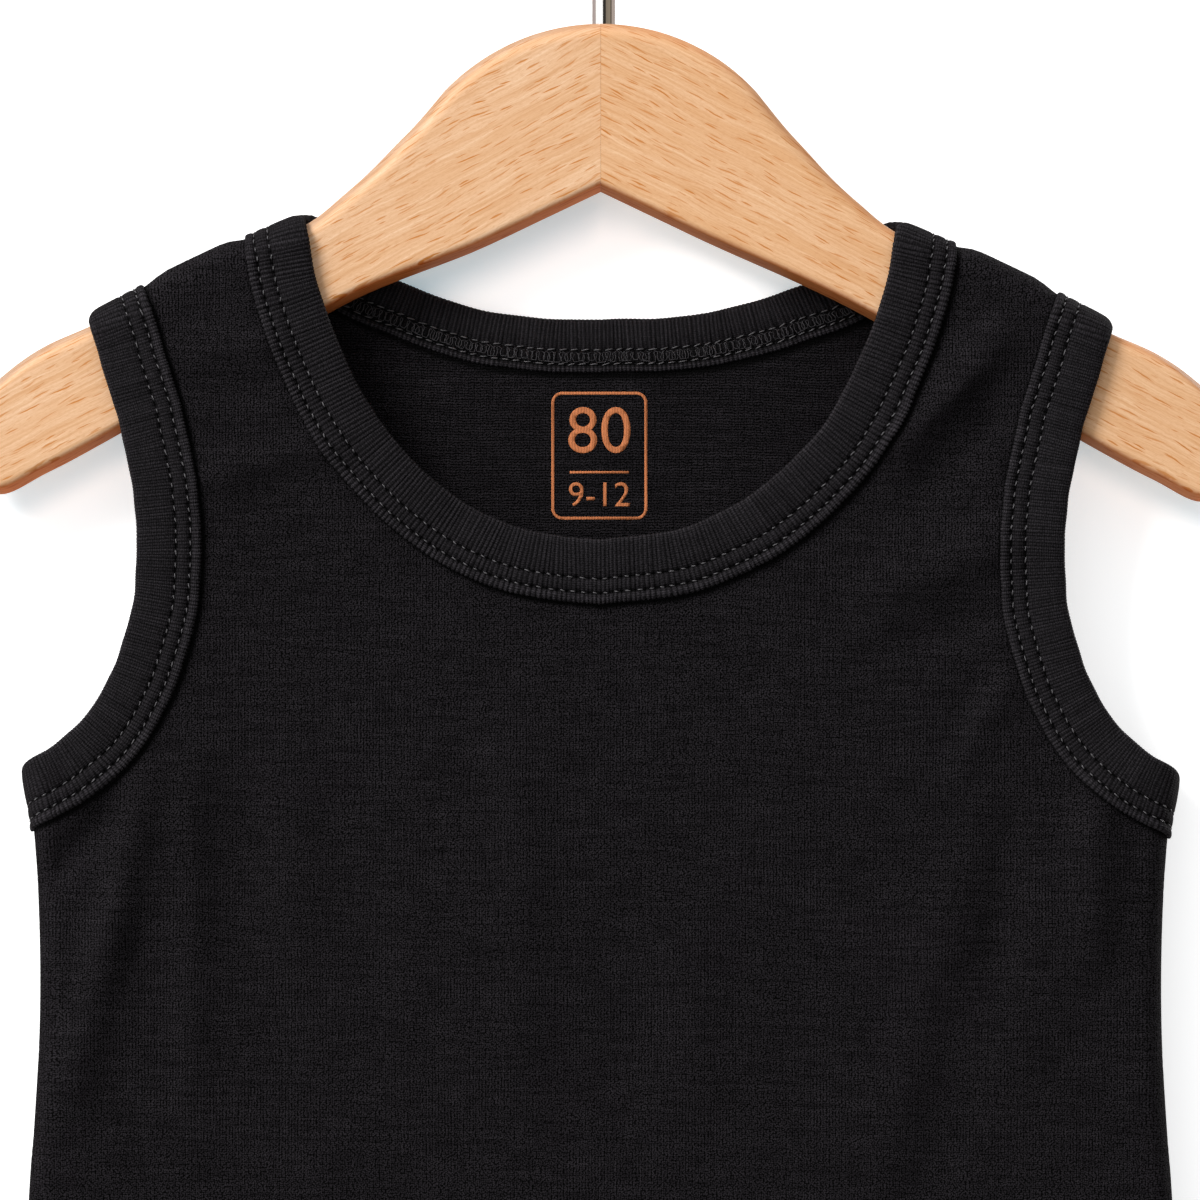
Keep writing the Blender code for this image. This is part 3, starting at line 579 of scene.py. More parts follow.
def side_x(z):
    """Half width of the body at a height, read from the side line."""
    return np.interp(z, SIDE_CURVE[:, 0], SIDE_CURVE[:, 1])


def below_shoulder(a, b):
    """How far a point of the cut lies below the shoulder seam."""
    return shoulder_z(a) + TOP_RISE - b


def within_side(a, b):
    """How far a point of the cut lies inside the side seam."""
    return side_x(b) + SIDE_RISE - np.abs(a)


def bell(x, width):
    """exp(-(x / width)^2)."""
    return np.exp(-(x / width) ** 2)


def hollow_depth(x, z):
    """Half the depth of the hollow: full over the hanger, easing to nearly closed below it."""
    below = HANGER_UNDERSIDE_Z - HANGER_UNDERSIDE_SLOPE * np.abs(x) - z
    return DEPTH_OVER_HANGER - (DEPTH_OVER_HANGER - DEPTH_HANGING) * smooth_step(below / DEPTH_FALL)


def fold_height(x, z, side, table):
    """Sum over the folds of a bell across the fold's line, tapering to both its ends."""
    x0, z0, x1, z1, width, depth = np.array(table[side]).T
    length = np.hypot(x1 - x0, z1 - z0)
    ux, uz = (x1 - x0) / length, (z1 - z0) / length
    dx, dz = x[..., None] - x0, z[..., None] - z0
    along, across = dx * ux + dz * uz, dx * uz - dz * ux
    taper = smooth_step(along / (0.35 * length)) * smooth_step((length - along) / (0.35 * length))
    return (depth * taper * bell(across, width)).sum(-1)


def place(a, b, side):
    """Point of the cloth's inner face for a point (a, b) of the flat cut.  Past the shoulder
    line the cut rolls over an arc of TOP_RADIUS, past the side line over one of SIDE_RADIUS."""
    sign = -1.0 if side == "front" else 1.0
    top = shoulder_z(a)
    over = np.minimum((top + TOP_RISE - b) / TOP_RADIUS, math.pi / 2.0)
    z = np.where(over < math.pi / 2.0, top - TOP_RADIUS * (1.0 - np.cos(over)), b)
    z = np.maximum(z, TURN_Z) if side == "back" else z
    edge = side_x(z)
    turned = np.minimum((edge + SIDE_RISE - np.abs(a)) / SIDE_RADIUS, math.pi / 2.0)
    rolled = np.sign(a) * (edge - SIDE_RADIUS * (1.0 - np.cos(turned)))
    x = np.where(turned < math.pi / 2.0, rolled, a)
    depth = hollow_depth(x, z) + fold_height(x, z, side, FOLDS)
    y = sign * depth * np.sin(over) * np.sin(turned)
    if side == "back":
        past = np.maximum(TURN_Z - b, 0.0)
        angle = np.minimum(past / TURN_RADIUS, math.pi)
        y = y - TURN_RADIUS * (1.0 - np.cos(angle))
        z = z - TURN_RADIUS * np.sin(angle) + np.maximum(past - math.pi * TURN_RADIUS, 0.0)
    return np.stack([x, y, z], -1)


def outward(a, b, side):
    """Unit normal away from the hollow: the cross product of the slopes along a and b."""
    h = 0.02
    across = place(a + h, b, side) - place(a - h, b, side)
    up = place(a, b + h, side) - place(a, b - h, side)
    return unit(np.cross(across, up)) * (1.0 if side == "front" else -1.0)


def crease_height(a, b, side):
    """Surface creases and a faint unevenness, a sum of three slow sines.  Both fade out where
    the cloth rolls over a seam and at the crotch turn."""
    near_top = smooth_step(below_shoulder(a, b) / 14.0)
    near_side = smooth_step(within_side(a, b) / 7.0)
    near_turn = smooth_step((b - CREASES_END_Z) / 12.0)
    sign = 1.0 if side == "front" else -1.0
    slow = (np.sin(0.23 * a + 0.11 * b * sign) + np.sin(0.13 * a - 0.19 * b + 1.7)
            + np.sin(0.31 * b + 0.09 * a * sign + 0.6))
    height = (fold_height(a, b, side, CREASES) + 0.09 * slow) * near_top * near_side * near_turn
    under_x, under_z = np.array(BOARD_UNDER)[:0:-1].T
    below_board = np.interp(np.abs(a), under_x, under_z) - b
    return np.where(height < 0.0, height * smooth_step((below_board - 1.0) / 4.0), height)


def skin(a, b, side, height):
    """Points standing a height off the creased inner face, along its normal."""
    lift = np.asarray(height, float) + crease_height(a, b, side)
    return place(a, b, side) + outward(a, b, side) * lift[..., None]


# Edges of the openings on the right half: x, z in the cut plane.
NECK_FRONT = ((62.3, -109.0), (58.8, -120.5), (54.2, -131.0), (47.9, -142.0), (39.9, -151.0),
              (29.5, -159.1), (16.0, -165.0), (0.0, -167.0))
NECK_BACK = ((53.0, -106.0), (40.0, -112.3), (26.0, -116.6), (13.0, -118.3), (0.0, -118.7))
ARMHOLE = ((108.7, -129.0), (105.8, -138.5), (102.7, -151.0), (101.0, -164.0), (101.1, -176.0),
           (103.0, -187.0), (107.4, -198.6), (114.5, -208.8))
UNDERARM_Z = -217.8
LEG_CENTRE = (135.0, -500.0)
LEG_RADII = (85.0, 94.5)
BACK_NECK_WIDTH = 12.2
LEG_WIDTH = 13.7
TUCK = 3.0                   # length of panel edge held inside a binding
EDGE_STEP = 0.6              # spacing of the points along an opening


def away_from(points, toward):
    """Unit directions square to a line of points, on the side that the toward vector picks."""
    square = unit(np.gradient(points, axis=0))[:, ::-1] * (-1.0, 1.0)
    return square * np.sign((square * np.array(toward)).sum(1))[:, None]


def turn_between(first, second, weight):
    """Unit directions that swing from the first to the second as the weight goes 0 to 1."""
    return unit(np.array(first) * (1.0 - weight[:, None]) + second * weight[:, None])


def opening_edge(kind, side):
    """Edge of an opening on the right half, a point each EDGE_STEP.  Columns: a, b, the unit
    direction into the cloth, and the binding's width.  Directions run along the shoulder or
    side seam at the ends and square to the curve elsewhere."""
    if kind == "neck":
        start = (NECK_POINT_X, float(shoulder_z(NECK_POINT_X)) + TOP_RISE)
        line = curve_through((start,) + (NECK_FRONT if side == "front" else NECK_BACK), 30)
        toward = (0.35, -1.0)
    elif kind == "arm":
        start = (ARM_POINT_X, float(shoulder_z(ARM_POINT_X)) + TOP_RISE)
        end = (float(side_x(UNDERARM_Z)) + SIDE_RISE, UNDERARM_Z)
        line = curve_through((start,) + ARMHOLE + (end,), 30)
        toward = (-1.0, -0.5)
    else:
        cx, cz = LEG_CENTRE
        rx, rz = LEG_RADII
        seam_x = float(side_x(cz + rz)) + SIDE_RISE
        angles = np.linspace(math.asin((cx - seam_x) / rx), math.pi / 2.0, 240)
        line = np.stack([cx - rx * np.sin(angles), cz + rz * np.cos(angles)], 1)
        end_z = FLAP_HEM_Z if side == "front" else TURN_Z - math.pi * TURN_RADIUS - TAB_LENGTH
        line = np.vstack([line, [(cx - rx, end_z)]])
        toward = (-1.0, 0.35)
    total = arc_length(line)[-1]
    lengths = np.linspace(0.0, total, int(total / EDGE_STEP))
    points = resample(line, lengths)
    square = away_from(points, toward)
    width = np.full(len(lengths), LEG_WIDTH if kind == "leg" else BINDING_WIDTH)
    if kind == "neck":
        square[:, 0] -= square[-2, 0] * np.clip(1.0 - points[:, 0] / 12.0, 0.0, 1.0)
        square = unit(square)
        square[-1] = (0.0, -1.0)
        shoulder = unit(np.array([[1.0, -SHOULDER_SLOPE]]))
        square = turn_between(shoulder, square, smooth_step(lengths / 14.0))
        if side == "back":
            width -= (BINDING_WIDTH - BACK_NECK_WIDTH) * smooth_step(lengths / 30.0)
    elif kind == "arm":
        shoulder = unit(np.array([[-1.0, SHOULDER_SLOPE]]))
        seam = unit(np.array([[-0.2, -1.0]]))
        square = turn_between(shoulder, square, smooth_step(lengths / 14.0))
        square = turn_between(seam, square, smooth_step((total - lengths) / 16.0))
    else:
        square = turn_between([[0.0, 1.0]], square, smooth_step(lengths / 14.0))
        square[points[:, 1] <= LEG_CENTRE[1]] = (-1.0, 0.0)
    return np.column_stack([points, square, width])


def inside(points, outline):
    """True for the points inside a closed outline, by counting the sides a ray crosses."""
    x, z = points[:, 0:1], points[:, 1:2]
    x0, z0 = outline[:, 0], outline[:, 1]
    x1, z1 = np.roll(x0, -1), np.roll(z0, -1)
    spans = (z0 > z) != (z1 > z)
    rise = np.where(z1 == z0, 1.0, z1 - z0)
    return (spans & (x < x0 + (z - z0) * (x1 - x0) / rise)).sum(1) % 2 == 1


PANEL_STEP = 2.1             # spacing of the points over a panel
SEAM_GAP = 0.03
LIP_STEP = 1.4               # spacing of the points that mark a binding's lip
BACK_OF_KNIT = 0.2           # shade that tells the back of the knit from its face


def panel_outline(side):
    """Cut line of a whole panel: inside each binding it runs TUCK short of the lip, and
    between the bindings it follows the shoulder and the side seam."""
    tucked = []
    for kind in ("neck", "arm", "leg"):
        edge = opening_edge(kind, side)
        reach = edge[:, 4] - TUCK
        line = edge[:, :2] + edge[:, 2:4] * reach[:, None]
        tucked.append(resample(line, np.linspace(0.0, arc_length(line)[-1],
                                                 int(arc_length(line)[-1] / PANEL_STEP))))
    neck, arm, leg = tucked
    x = np.linspace(neck[0, 0], arm[0, 0], 14)[1:-1]
    shoulder = np.stack([x, shoulder_z(x) + TOP_RISE], 1)
    z = np.arange(arm[-1, 1] - PANEL_STEP, leg[0, 1] + 1.0, -PANEL_STEP)
    seam = np.stack([side_x(z) + SIDE_RISE, z], 1)
    x = np.linspace(leg[-1, 0], 0.0, 20)[1:]
    hem = np.stack([x, np.full(len(x), leg[-1, 1])], 1)
    half = np.vstack([neck[::-1], shoulder, arm, seam, leg, hem])
    half[:, 1] = np.minimum(half[:, 1], shoulder_z(half[:, 0]) + TOP_RISE - SEAM_GAP)
    half[:, 0] = np.minimum(half[:, 0], side_x(half[:, 1]) + SIDE_RISE - SEAM_GAP)
    return np.vstack([half, (half * (-1.0, 1.0))[-2:0:-1]])


def lip_lines(side):
    """Where the lips of the bindings lie on the right half of a panel, every LIP_STEP: a, b and
    the unit direction into the cloth."""
    lines = []
    for kind in ("neck", "arm", "leg"):
        edge = opening_edge(kind, side)
        line = edge[:, :4].copy()
        line[:, :2] += edge[:, 2:4] * edge[:, 4:5]
        length = arc_length(line[:, :2])
        at = np.linspace(0.0, length[-1], int(length[-1] / LIP_STEP))
        lines.append(np.stack([np.interp(at, length, line[:, k]) for k in range(4)], 1))
    return lines


def painted_lip_shadow(plane, side):
    """Painted shadow of the lips on the cloth's face, as a tone: 0.3 under a lip, rising to 1
    beside it.  The rise is over half a millimetre, and over two where the cloth lies below the
    lip or to its right, as light from the upper left would cast it."""
    lips = np.vstack(lip_lines(side))
    lips = np.vstack([lips, lips * (-1.0, 1.0, -1.0, 1.0)])
    toward = 0.75 * lips[:, 2] - 0.66 * lips[:, 3]
    tone = np.ones(len(plane))
    for part in np.array_split(np.arange(len(plane)), 60):
        gap = ((plane[part, None] - lips[None, :, :2]) ** 2).sum(-1)
        nearest = gap.argmin(1)
        near = np.sqrt(gap[np.arange(len(part)), nearest])
        reach = 0.7 + 1.1 * smooth_step(toward[nearest])
        deepest = 0.55 - 0.30 * smooth_step(toward[nearest] + 0.3)
        tone[part] = deepest + (1.0 - deepest) * smooth_step((near - 0.25) / reach)
    return tone


def panel_points(outline, side):
    """Staggered lattice inside the outline, with close rows where the cloth rolls over and
    beside the bindings."""
    low, high = outline.min(0), outline.max(0)
    x = np.arange(low[0], high[0], PANEL_STEP)
    z = np.arange(low[1], high[1], PANEL_STEP * 0.87)
    grid = np.stack(np.meshgrid(x, z), -1)
    grid[1::2, :, 0] += 0.5 * PANEL_STEP
    grid = grid.reshape(-1, 2)
    clear = ((below_shoulder(*grid.T) > 1.7 * TOP_RADIUS) & (within_side(*grid.T) > 1.7 * SIDE_RADIUS))
    groups = [grid[clear]]
    for line in lip_lines(side):
        for beyond in (0.15, 0.8, 1.5, 2.3):
            row = line[:, :2] + line[:, 2:4] * beyond
            groups += [row, row * (-1.0, 1.0)]
    for step in np.linspace(0.7, 1.7 * TOP_RADIUS, 11):
        row_x = np.arange(58.0, 120.0, 1.9)
        row = np.stack([row_x, shoulder_z(row_x) + TOP_RISE - step], 1)
        groups += [row, row * (-1.0, 1.0)]
    for step in np.linspace(0.7, 1.7 * SIDE_RADIUS, 10):
        row_z = np.arange(-415.0, -205.0, 1.9)
        row = np.stack([side_x(row_z) + SIDE_RISE - step, row_z], 1)
        groups += [row, row * (-1.0, 1.0)]
    points = np.vstack(groups)
    return points[inside(points, outline)]


def seam_dip(a, b, side):
    """How far the outer face sinks where two panels meet: a bell 1 mm wide along the shoulder
    and side seams.  The flap's hem is a second layer thick over its last 12 mm."""
    dip = 0.12 * bell(below_shoulder(a, b), 1.0) + 0.12 * bell(within_side(a, b), 1.0)
    if side == "front":
        hem = smooth_step((FLAP_HEM_Z + 12.6 - b) / 0.8)
        dip = dip - 0.35 * hem + 0.25 * bell(b - FLAP_HEM_Z, 0.5)
    return dip


def shell_of(name, plane, triangles, low, high, material, shade=None):
    """Closed shell over a triangulated part of the cut: low and high are its two faces, and a
    rim joins them along every edge that only one triangle has.  Its UV is the cut itself."""
    count = len(plane)
    edges = np.vstack([triangles[:, [0, 1]], triangles[:, [1, 2]], triangles[:, [2, 0]]])
    key, back_key = edges[:, 0] * count + edges[:, 1], edges[:, 1] * count + edges[:, 0]
    rim = edges[~np.isin(key, back_key)]
    faces = triangles.tolist() + (triangles[:, ::-1] + count).tolist()
    faces += np.stack([rim[:, 1], rim[:, 0], rim[:, 0] + count, rim[:, 1] + count], 1).tolist()
    return mesh_object(name, np.vstack([low, high]), faces, material, np.vstack([plane, plane]), shade)


def jersey_panel(name, side, material):
    """Panel cut from the plane as a triangulated lattice and placed in space: its inner face,
    and an outer face one wall above it."""
    outline = panel_outline(side)
    points = np.vstack([outline, panel_points(outline, side)])
    ring = [(i, (i + 1) % len(outline)) for i in range(len(outline))]
    cut = delaunay_2d_cdt(points.tolist(), ring, [], 1, 1e-4)
    plane = np.array([tuple(v) for v in cut[0]])
    a, b = plane.T
    inner = skin(a, b, side, np.zeros(len(a)))
    outer = skin(a, b, side, JERSEY_WALL - seam_dip(a, b, side))
    # Painted shadow of the bindings' lips, on both faces; the inner face carries it scaled by BACK_OF_KNIT.
    tone = painted_lip_shadow(plane, side)
    return shell_of(name, plane, np.array([tuple(f) for f in cut[2]]), inner, outer, material,
                    np.concatenate([BACK_OF_KNIT * tone, tone]))


def knit_group():
    """Plain knit from flat coordinates in millimetres.  Loops: columns (wales) of V shaped
    stitches, as a height from 0 to 1.  Tone: uneven yarn, as mottle the size of a stitch,
    long streaks along the courses and down the wales.  Cloud: slow patches.  Crimp: a bright
    spot at the heart of each random cell, as the yarn stands up in short curls."""
    group = new_group("plain_knit", [("Vector", "NodeSocketVector", None),
                                     ("Wale", "NodeSocketFloat", 0.62),
                                     ("Course", "NodeSocketFloat", 0.50)],
                      [("Loops", "NodeSocketFloat"), ("Tone", "NodeSocketFloat"),
                       ("Cloud", "NodeSocketFloat"), ("Crimp", "NodeSocketFloat")])
    n = Nodes(group)
    source = n.outs("NodeGroupInput")
    flat = source["Vector"]
    a, b, _ = n.split(flat)
    drift = n.stretched(flat, 0.4, 0.7) * 0.7 + n.stretched(flat, 1.6, 1.9, 1.0) * 0.35
    from_middle = abs(n.math("FRACT", (a + drift) / source["Wale"]) - 0.5) * 2.0
    leg = from_middle * 0.55 + b / source["Course"]
    stitch = n.math("COSINE", leg * (2.0 * math.pi)) * 0.5 + 0.5
    loops = n.ramp(from_middle, 0.95, 0.15) * (stitch * 0.45 + 0.55)
    curls = n.out("ShaderNodeTexVoronoi", "Distance",
                  {"Vector": n.mapped(flat, scale=(2.25, 2.45, 1.0)), "Scale": 1.0, "Randomness": 0.72},
                  voronoi_dimensions="2D")
    mottle = n.stretched(flat, 1.35, 1.65, 2.0, 0.6)
    streak = n.stretched(flat, 0.10, 0.90, 2.0, 0.6)
    down = n.stretched(flat, 1.45, 0.13, 2.0, 0.6)
    n.add("NodeGroupOutput", {"Loops": loops, "Tone": mottle * 0.20 + streak * 0.45 + down * 0.35,
                              "Cloud": n.stretched(flat, 0.035, 0.05, 3.0, 0.55),
                              "Crimp": n.ramp(curls, 0.1, 0.75, 1.0, 0.06)})
    return group


PLAIN_KNIT = knit_group()


def knit_on(n, flat, wale, course):
    """The knit's outputs on given flat coordinates, with its stitch width and height."""
    return n.outs("ShaderNodeGroup", {"Vector": flat, "Wale": wale, "Course": course},
                  node_tree=PLAIN_KNIT)


def jersey(name, low, high):
    """Matt black cotton whose colour runs from low to high with the yarn's tone.  The mesh's
    shade is 1 on the face of the knit and drops into a painted shadow beside a binding's lip.
    On the back of the knit, where rows of purl bumps lie across the piece, it is a fifth of
    that, and the back's colour is painted a little darker as shade inside the garment."""
    material, shader, n = new_material(name)
    flat = n.out("ShaderNodeUVMap", "UV", uv_map="cloth")
    across = n.mapped(flat, rotation=(0.0, 0.0, 0.5 * math.pi))
    face = knit_on(n, flat, 0.68, 0.54)
    purl = knit_on(n, across, 0.60, 0.68)
    shade = n.out("ShaderNodeAttribute", "Fac", attribute_name="shade")
    on_face = n.ramp(shade, 0.22, 0.30)
    on_back = 1.0 - on_face
    straight = n.ramp(face["Cloud"], 0.35, 0.65, 0.12, 0.42)
    wales = face["Loops"] * straight + face["Crimp"] * (1.0 - straight)
    rows = purl["Loops"] * 0.5 + face["Crimp"] * 0.5
    # The back of the knit is painted darker than its face, as shade inside the garment.
    pattern = n.ramp(wales, 0.10, 0.72, 0.0, 1.70) * on_face + n.ramp(rows, 0.14, 0.70, 0.0, 1.46) * on_back
    # Painted shadow beside the bindings' lips, read from the mesh's shade.
    beside = n.ramp(shade, 0.30, 1.0, 0.10, 1.0) * on_face + n.ramp(shade, 0.05, 0.2, 0.10, 1.0) * on_back
    depth = pattern * (n.ramp(face["Cloud"], 0.3, 0.7, 0.94, 1.06) * beside)
    colour = n.mix(n.ramp(face["Tone"], 0.28, 0.72), low, high)
    n.feed(shader, {"Base Color": n.mix(1.0, colour, n.grey(depth), "MULTIPLY"), "Roughness": 0.92,
                    "Normal": n.relief(pattern, 1.0, 0.00020), "Specular IOR Level": 0.05,
                    "Sheen Weight": 0.008, "Sheen Roughness": 0.45})
    return material


def cut_area(outline):
    """Area inside a closed outline, in square metres, by the shoelace rule."""
    x, z = outline[:, 0], outline[:, 1]
    return 0.5 * abs((x * np.roll(z, -1) - z * np.roll(x, -1)).sum()) * MM * MM


JERSEY_LOW = (0.0040, 0.0034, 0.0041)
JERSEY_HIGH = (0.0152, 0.0134, 0.0155)
for side in ("front", "back"):
    cloth = jersey(f"{side}_black_jersey", JERSEY_LOW, JERSEY_HIGH)
    panel = jersey_panel(f"{side}_jersey", side, cloth)
    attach(panel, "root")
    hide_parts(f"{side}_panel")
    cut = panel_outline(side)
    float(cut_area(cut))


# ============================================================== rib bindings
# A strip of 1 x 1 cotton rib, folded over each raw edge and held by a twin needle
# coverstitch.  The two rows of stitches sink into it, and outside the second row the strip's
# own edge stands up as a soft ribbed lip.

# Section of a binding, from the opening edge over the outer layer to the lip, back through
# the slot that holds the panel, and along the inner layer.  Distance from the opening edge
# is share x (width - BORDER) + extra; height is off the panel's inner face; rib scales the
# ridges; pit is how far the needle pulls that row down.  Each row: share, extra, height, rib, pit.
SECTION = (
    (0, 0, 1, 0.4, 0), (0, 0.1, 1.55, 0.5, 0), (0, 0.4, 2.05, 0.7, 0), (0, 1, 2.38, 1, 0),
    (0.35, 0, 2.55, 1, 0), (0.7, 0, 2.55, 1, 0), (1, 0, 2.45, 0.9, 0), (1, 0.45, 2.28, 0.6, 0.3),
    (1, 0.8, 2.02, 0.4, 1), (1, 1.2, 2.27, 0.6, 0.3), (1, 1.75, 2.48, 1, 0), (1, 2.4, 2.54, 1, 0),
    (1, 3.1, 2.48, 1, 0), (1, 3.6, 2.27, 0.6, 0.3), (1, 3.95, 2.02, 0.4, 1), (1, 4.35, 2.3, 0.7, 0.3),
    (1, 4.85, 2.62, 1.2, 0), (1, 5.35, 2.74, 1.3, 0), (1, 5.8, 2.62, 1.3, 0), (1, 6.1, 2.28, 1.2, 0),
    (1, 6.2, 1.8, 1, 0), (1, 6.14, 1.1, 0.4, 0), (1, 5.8, 0.92, 0, 0), (1, 3, 1.18, 0, 0),
    (0.5, 0, 1.18, 0, 0), (0, 1.1, 1.12, 0, 0), (0, 0.95, 0.6, 0, 0), (0, 1.1, 0.02, 0, 0),
    (0.5, 0, -0.03, 0, 0), (1, 3, -0.03, 0, 0), (1, 5.3, -0.03, 0, 0), (1, 5.62, -0.12, 0.5, 0),
    (1, 5.66, -0.4, 0.9, 0), (1, 5.35, -0.62, 1, 0), (1, 4.9, -0.66, 1, 0), (1, 4.4, -0.56, 0.7, 0.3),
    (1, 3.95, -0.34, 0.4, 1), (1, 3.5, -0.52, 0.7, 0.3), (1, 2.4, -0.58, 1, 0), (1, 1.3, -0.52, 0.7, 0.3),
    (1, 0.8, -0.32, 0.4, 1), (1, 0.35, -0.47, 0.7, 0.3), (0.65, 0, -0.52, 1, 0), (0.3, 0, -0.47, 1, 0),
    (0, 1, -0.3, 1, 0), (0, 0.4, 0.04, 0.7, 0), (0, 0.1, 0.5, 0.5, 0),
)
BORDER = 6.2                  # from the smooth strip to the lip's edge
STRIP = BINDING_WIDTH - BORDER
STITCH_ROWS = (-5.40, -2.25)  # distance from the lip's edge
STITCH_PITCH = 2.43
CORNER_ROUND = 1.5


def join_edges(parts, closed):
    """Opening edges laid end to end as one run: distance along it, the edges' columns, where
    each part starts, whether that part lies on the back, the whole length, and closed."""
    lengths = [arc_length(columns[:, :2]) for columns, _ in parts]
    starts = np.concatenate([[0.0], np.cumsum([run[-1] for run in lengths])])
    distance = np.concatenate([run + start for run, start in zip(lengths, starts)])
    on_back = np.array([side == "back" for _, side in parts])
    return distance, np.vstack([columns for columns, _ in parts]), starts, on_back, starts[-1], closed


def mirrored(columns, hand):
    """Edge columns on the right half, or flipped to the left."""
    return columns * np.array([hand, 1.0, hand, 1.0, 1.0])


def on_run(run, along, share, extra, height):
    """Points at a distance along a run and share x (width - BORDER) + extra across it, or the
    whole width + extra where share is nan.  A slow wave of a tenth of a millimetre keeps the
    edge from looking drawn.  At the shoulder seam the opening edge's corner is rounded off."""
    distance, columns, starts, on_back, total, closed = run
    at = np.mod(along, total) if closed else np.clip(along, 0.0, total)
    a, b, da, db, width = (np.interp(at, distance, columns[:, k]) for k in range(5))
    turn = 2.0 * math.pi * at / total
    wave = 0.07 * np.sin(11.0 * turn + 0.5) + 0.06 * np.sin(17.0 * turn + 2.0) + 0.04 * np.sin(29.0 * turn)
    across = np.where(np.isnan(share), width, share * (width - BORDER)) + extra + wave
    corner = CORNER_ROUND * (1.0 - smooth_step(below_shoulder(a, b) / 4.4))
    across = across + corner * (1.0 - np.nan_to_num(share, nan=1.0))
    back = on_back[np.clip(np.searchsorted(starts, at, side="right") - 1, 0, len(on_back) - 1)]
    a, b = a + da * across, b + db * across
    height = np.where(height < 0.0, height * inner_share(a, b), height)
    over = height - JERSEY_WALL
    height = np.where(over > 0.0, JERSEY_WALL + over * outer_share(a, b), height)
    return np.where(back[..., None], skin(a, b, "back", height), skin(a, b, "front", height))


def inner_share(a, b):
    """The inner layer is squeezed to a third where it lies on the hanger's top edge."""
    return 0.35 + 0.65 * smooth_step((below_shoulder(a, b) - 5.0) / 6.0)


def outer_share(a, b):
    """The outer layer is pressed to less than half where it crosses a shoulder or side seam."""
    seams = smooth_step(below_shoulder(a, b) / 9.0) * smooth_step(within_side(a, b) / 8.0)
    return 0.45 + 0.55 * seams


def stitch_counts(run):
    """Distances along the run, and for each row the stitches sewn up to there: the row's own
    length over the pitch, whole over the run, with uneven feed of two sines of about a tenth
    of a stitch."""
    along = np.linspace(0.0, run[4], 4000)
    counts = []
    for row, near in enumerate(STITCH_ROWS):
        length = arc_length(on_run(run, along, np.nan, near, 2.2))
        turn = 2.0 * math.pi * length / length[-1]
        uneven = 0.07 * np.sin(23.0 * turn + 3.0 * row) + 0.05 * np.sin(41.0 * turn + 5.0 * row)
        counts.append(length / length[-1] * round(length[-1] / STITCH_PITCH) + uneven + 0.37 * row)
    return along, counts


def rib_binding(name, run, sewn_to, rib_pitch, per_rib, depth, seed, material):
    """Section carried along a run.  Ribs are ridges across the strip: each point moves along
    the section's own normal by depth x (1 - 2 c), where c is a narrow cosine bell once a rib,
    with a random strength for each rib.  Towards the opening edge the ribs sway along the
    strip by up to 0.4 mm, a sum of two sines."""
    total, closed = run[4], run[5]
    ribs = int(round(total / rib_pitch))
    count = ribs * per_rib
    index = np.arange(count if closed else count + 1)
    rng = np.random.default_rng(seed)
    strength = rng.uniform(0.80, 1.20, ribs + 1)[index // per_rib]
    shift = rng.uniform(-0.10, 0.10, ribs + 1)[index // per_rib] * rib_pitch
    along = index * total / count + np.where(index % per_rib == 0, 0.0, shift)
    trough = (0.5 + 0.5 * np.cos(2.0 * math.pi * index / per_rib)) ** 1.5 * rng.uniform(0.8, 1.0, len(index))
    ridge = (1.0 - 2.0 * trough) * depth * strength
    share, extra, height, rib, pit = np.array(SECTION).T
    flat = np.stack([share * STRIP + extra, height], 1)
    tangent = unit(np.roll(flat, -1, axis=0) - np.roll(flat, 1, axis=0))
    normal = np.stack([-tangent[:, 1], tangent[:, 0]], 1)
    lift = ridge[:, None] * rib
    pulled = np.zeros((len(along), len(share)))
    for row, near in enumerate(STITCH_ROWS):
        phase = np.interp(along, sewn_to[0], sewn_to[1][row])
        hole = (0.5 - 0.5 * np.cos(2.0 * math.pi * phase)) ** 1.3
        pulled += hole[:, None] * pit * (np.abs(extra - BORDER - near) < 1.2) * (share == 1.0)
    across = extra + normal[:, 0] * lift
    upward = height + normal[:, 1] * lift - 0.38 * pulled * np.sign(height)
    turn = 2.0 * math.pi * along / total
    sway = 0.24 * np.sin(9.0 * turn + 1.0) + 0.16 * np.sin(31.0 * turn)
    swayed = along[:, None] + sway[:, None] * (1.0 - share)
    points = on_run(run, swayed, share + 0.0 * across, across, upward)
    faces = grid_faces(len(along), len(share), closed, True)
    around = np.column_stack([np.broadcast_to(along[:, None], across.shape).ravel(),
                              (share * STRIP + across).ravel()])
    corner = around[faces.ravel()]
    if closed:
        last = np.repeat(np.arange(len(faces)) >= len(faces) - len(share), 4)
        corner[last & (corner[:, 0] < 0.5 * total), 0] += total
    faces = faces.tolist()
    if not closed:
        ends = np.arange(len(share))
        faces += [ends.tolist(), (ends[::-1] + (len(along) - 1) * len(share)).tolist()]
        corner = np.vstack([corner, around[ends], around[ends[::-1] + (len(along) - 1) * len(share)]])
    # Tone, painted onto the strip: painted shade between the ribs, in the needle holes and along
    # the rows, and over the inner layer's sewn band; painted highlight on the lip and the opening's rim.
    between = 0.90 * trough[:, None] * np.minimum(1.6 * rib, 1.0)
    tone = (1.0 - between) * (1.0 - 0.95 * np.minimum(pulled, 1.0))
    tone = tone * np.where(pit > 0.5, 0.28, 1.0) * (0.40 + 0.60 * strength[:, None])
    # Painted shade over the inner sewn band; painted highlight on the lip and the opening's rim.
    sewn_band = (height < 0.0) & (share == 1.0) & (extra > 0.4) & (extra < 4.6)
    lip = (share == 1.0) & (np.abs(extra - 5.5) < 0.8)
    rim = (share == 0.0) & (extra < 0.5) & (height > 0.9)
    tone = tone * np.where(sewn_band, 0.34, 1.0) * np.where(lip, 1.45, 1.0) * np.where(rim, 1.35, 1.0)
    return mesh_object(name, points.reshape(-1, 3), faces, material, corner, tone.ravel())


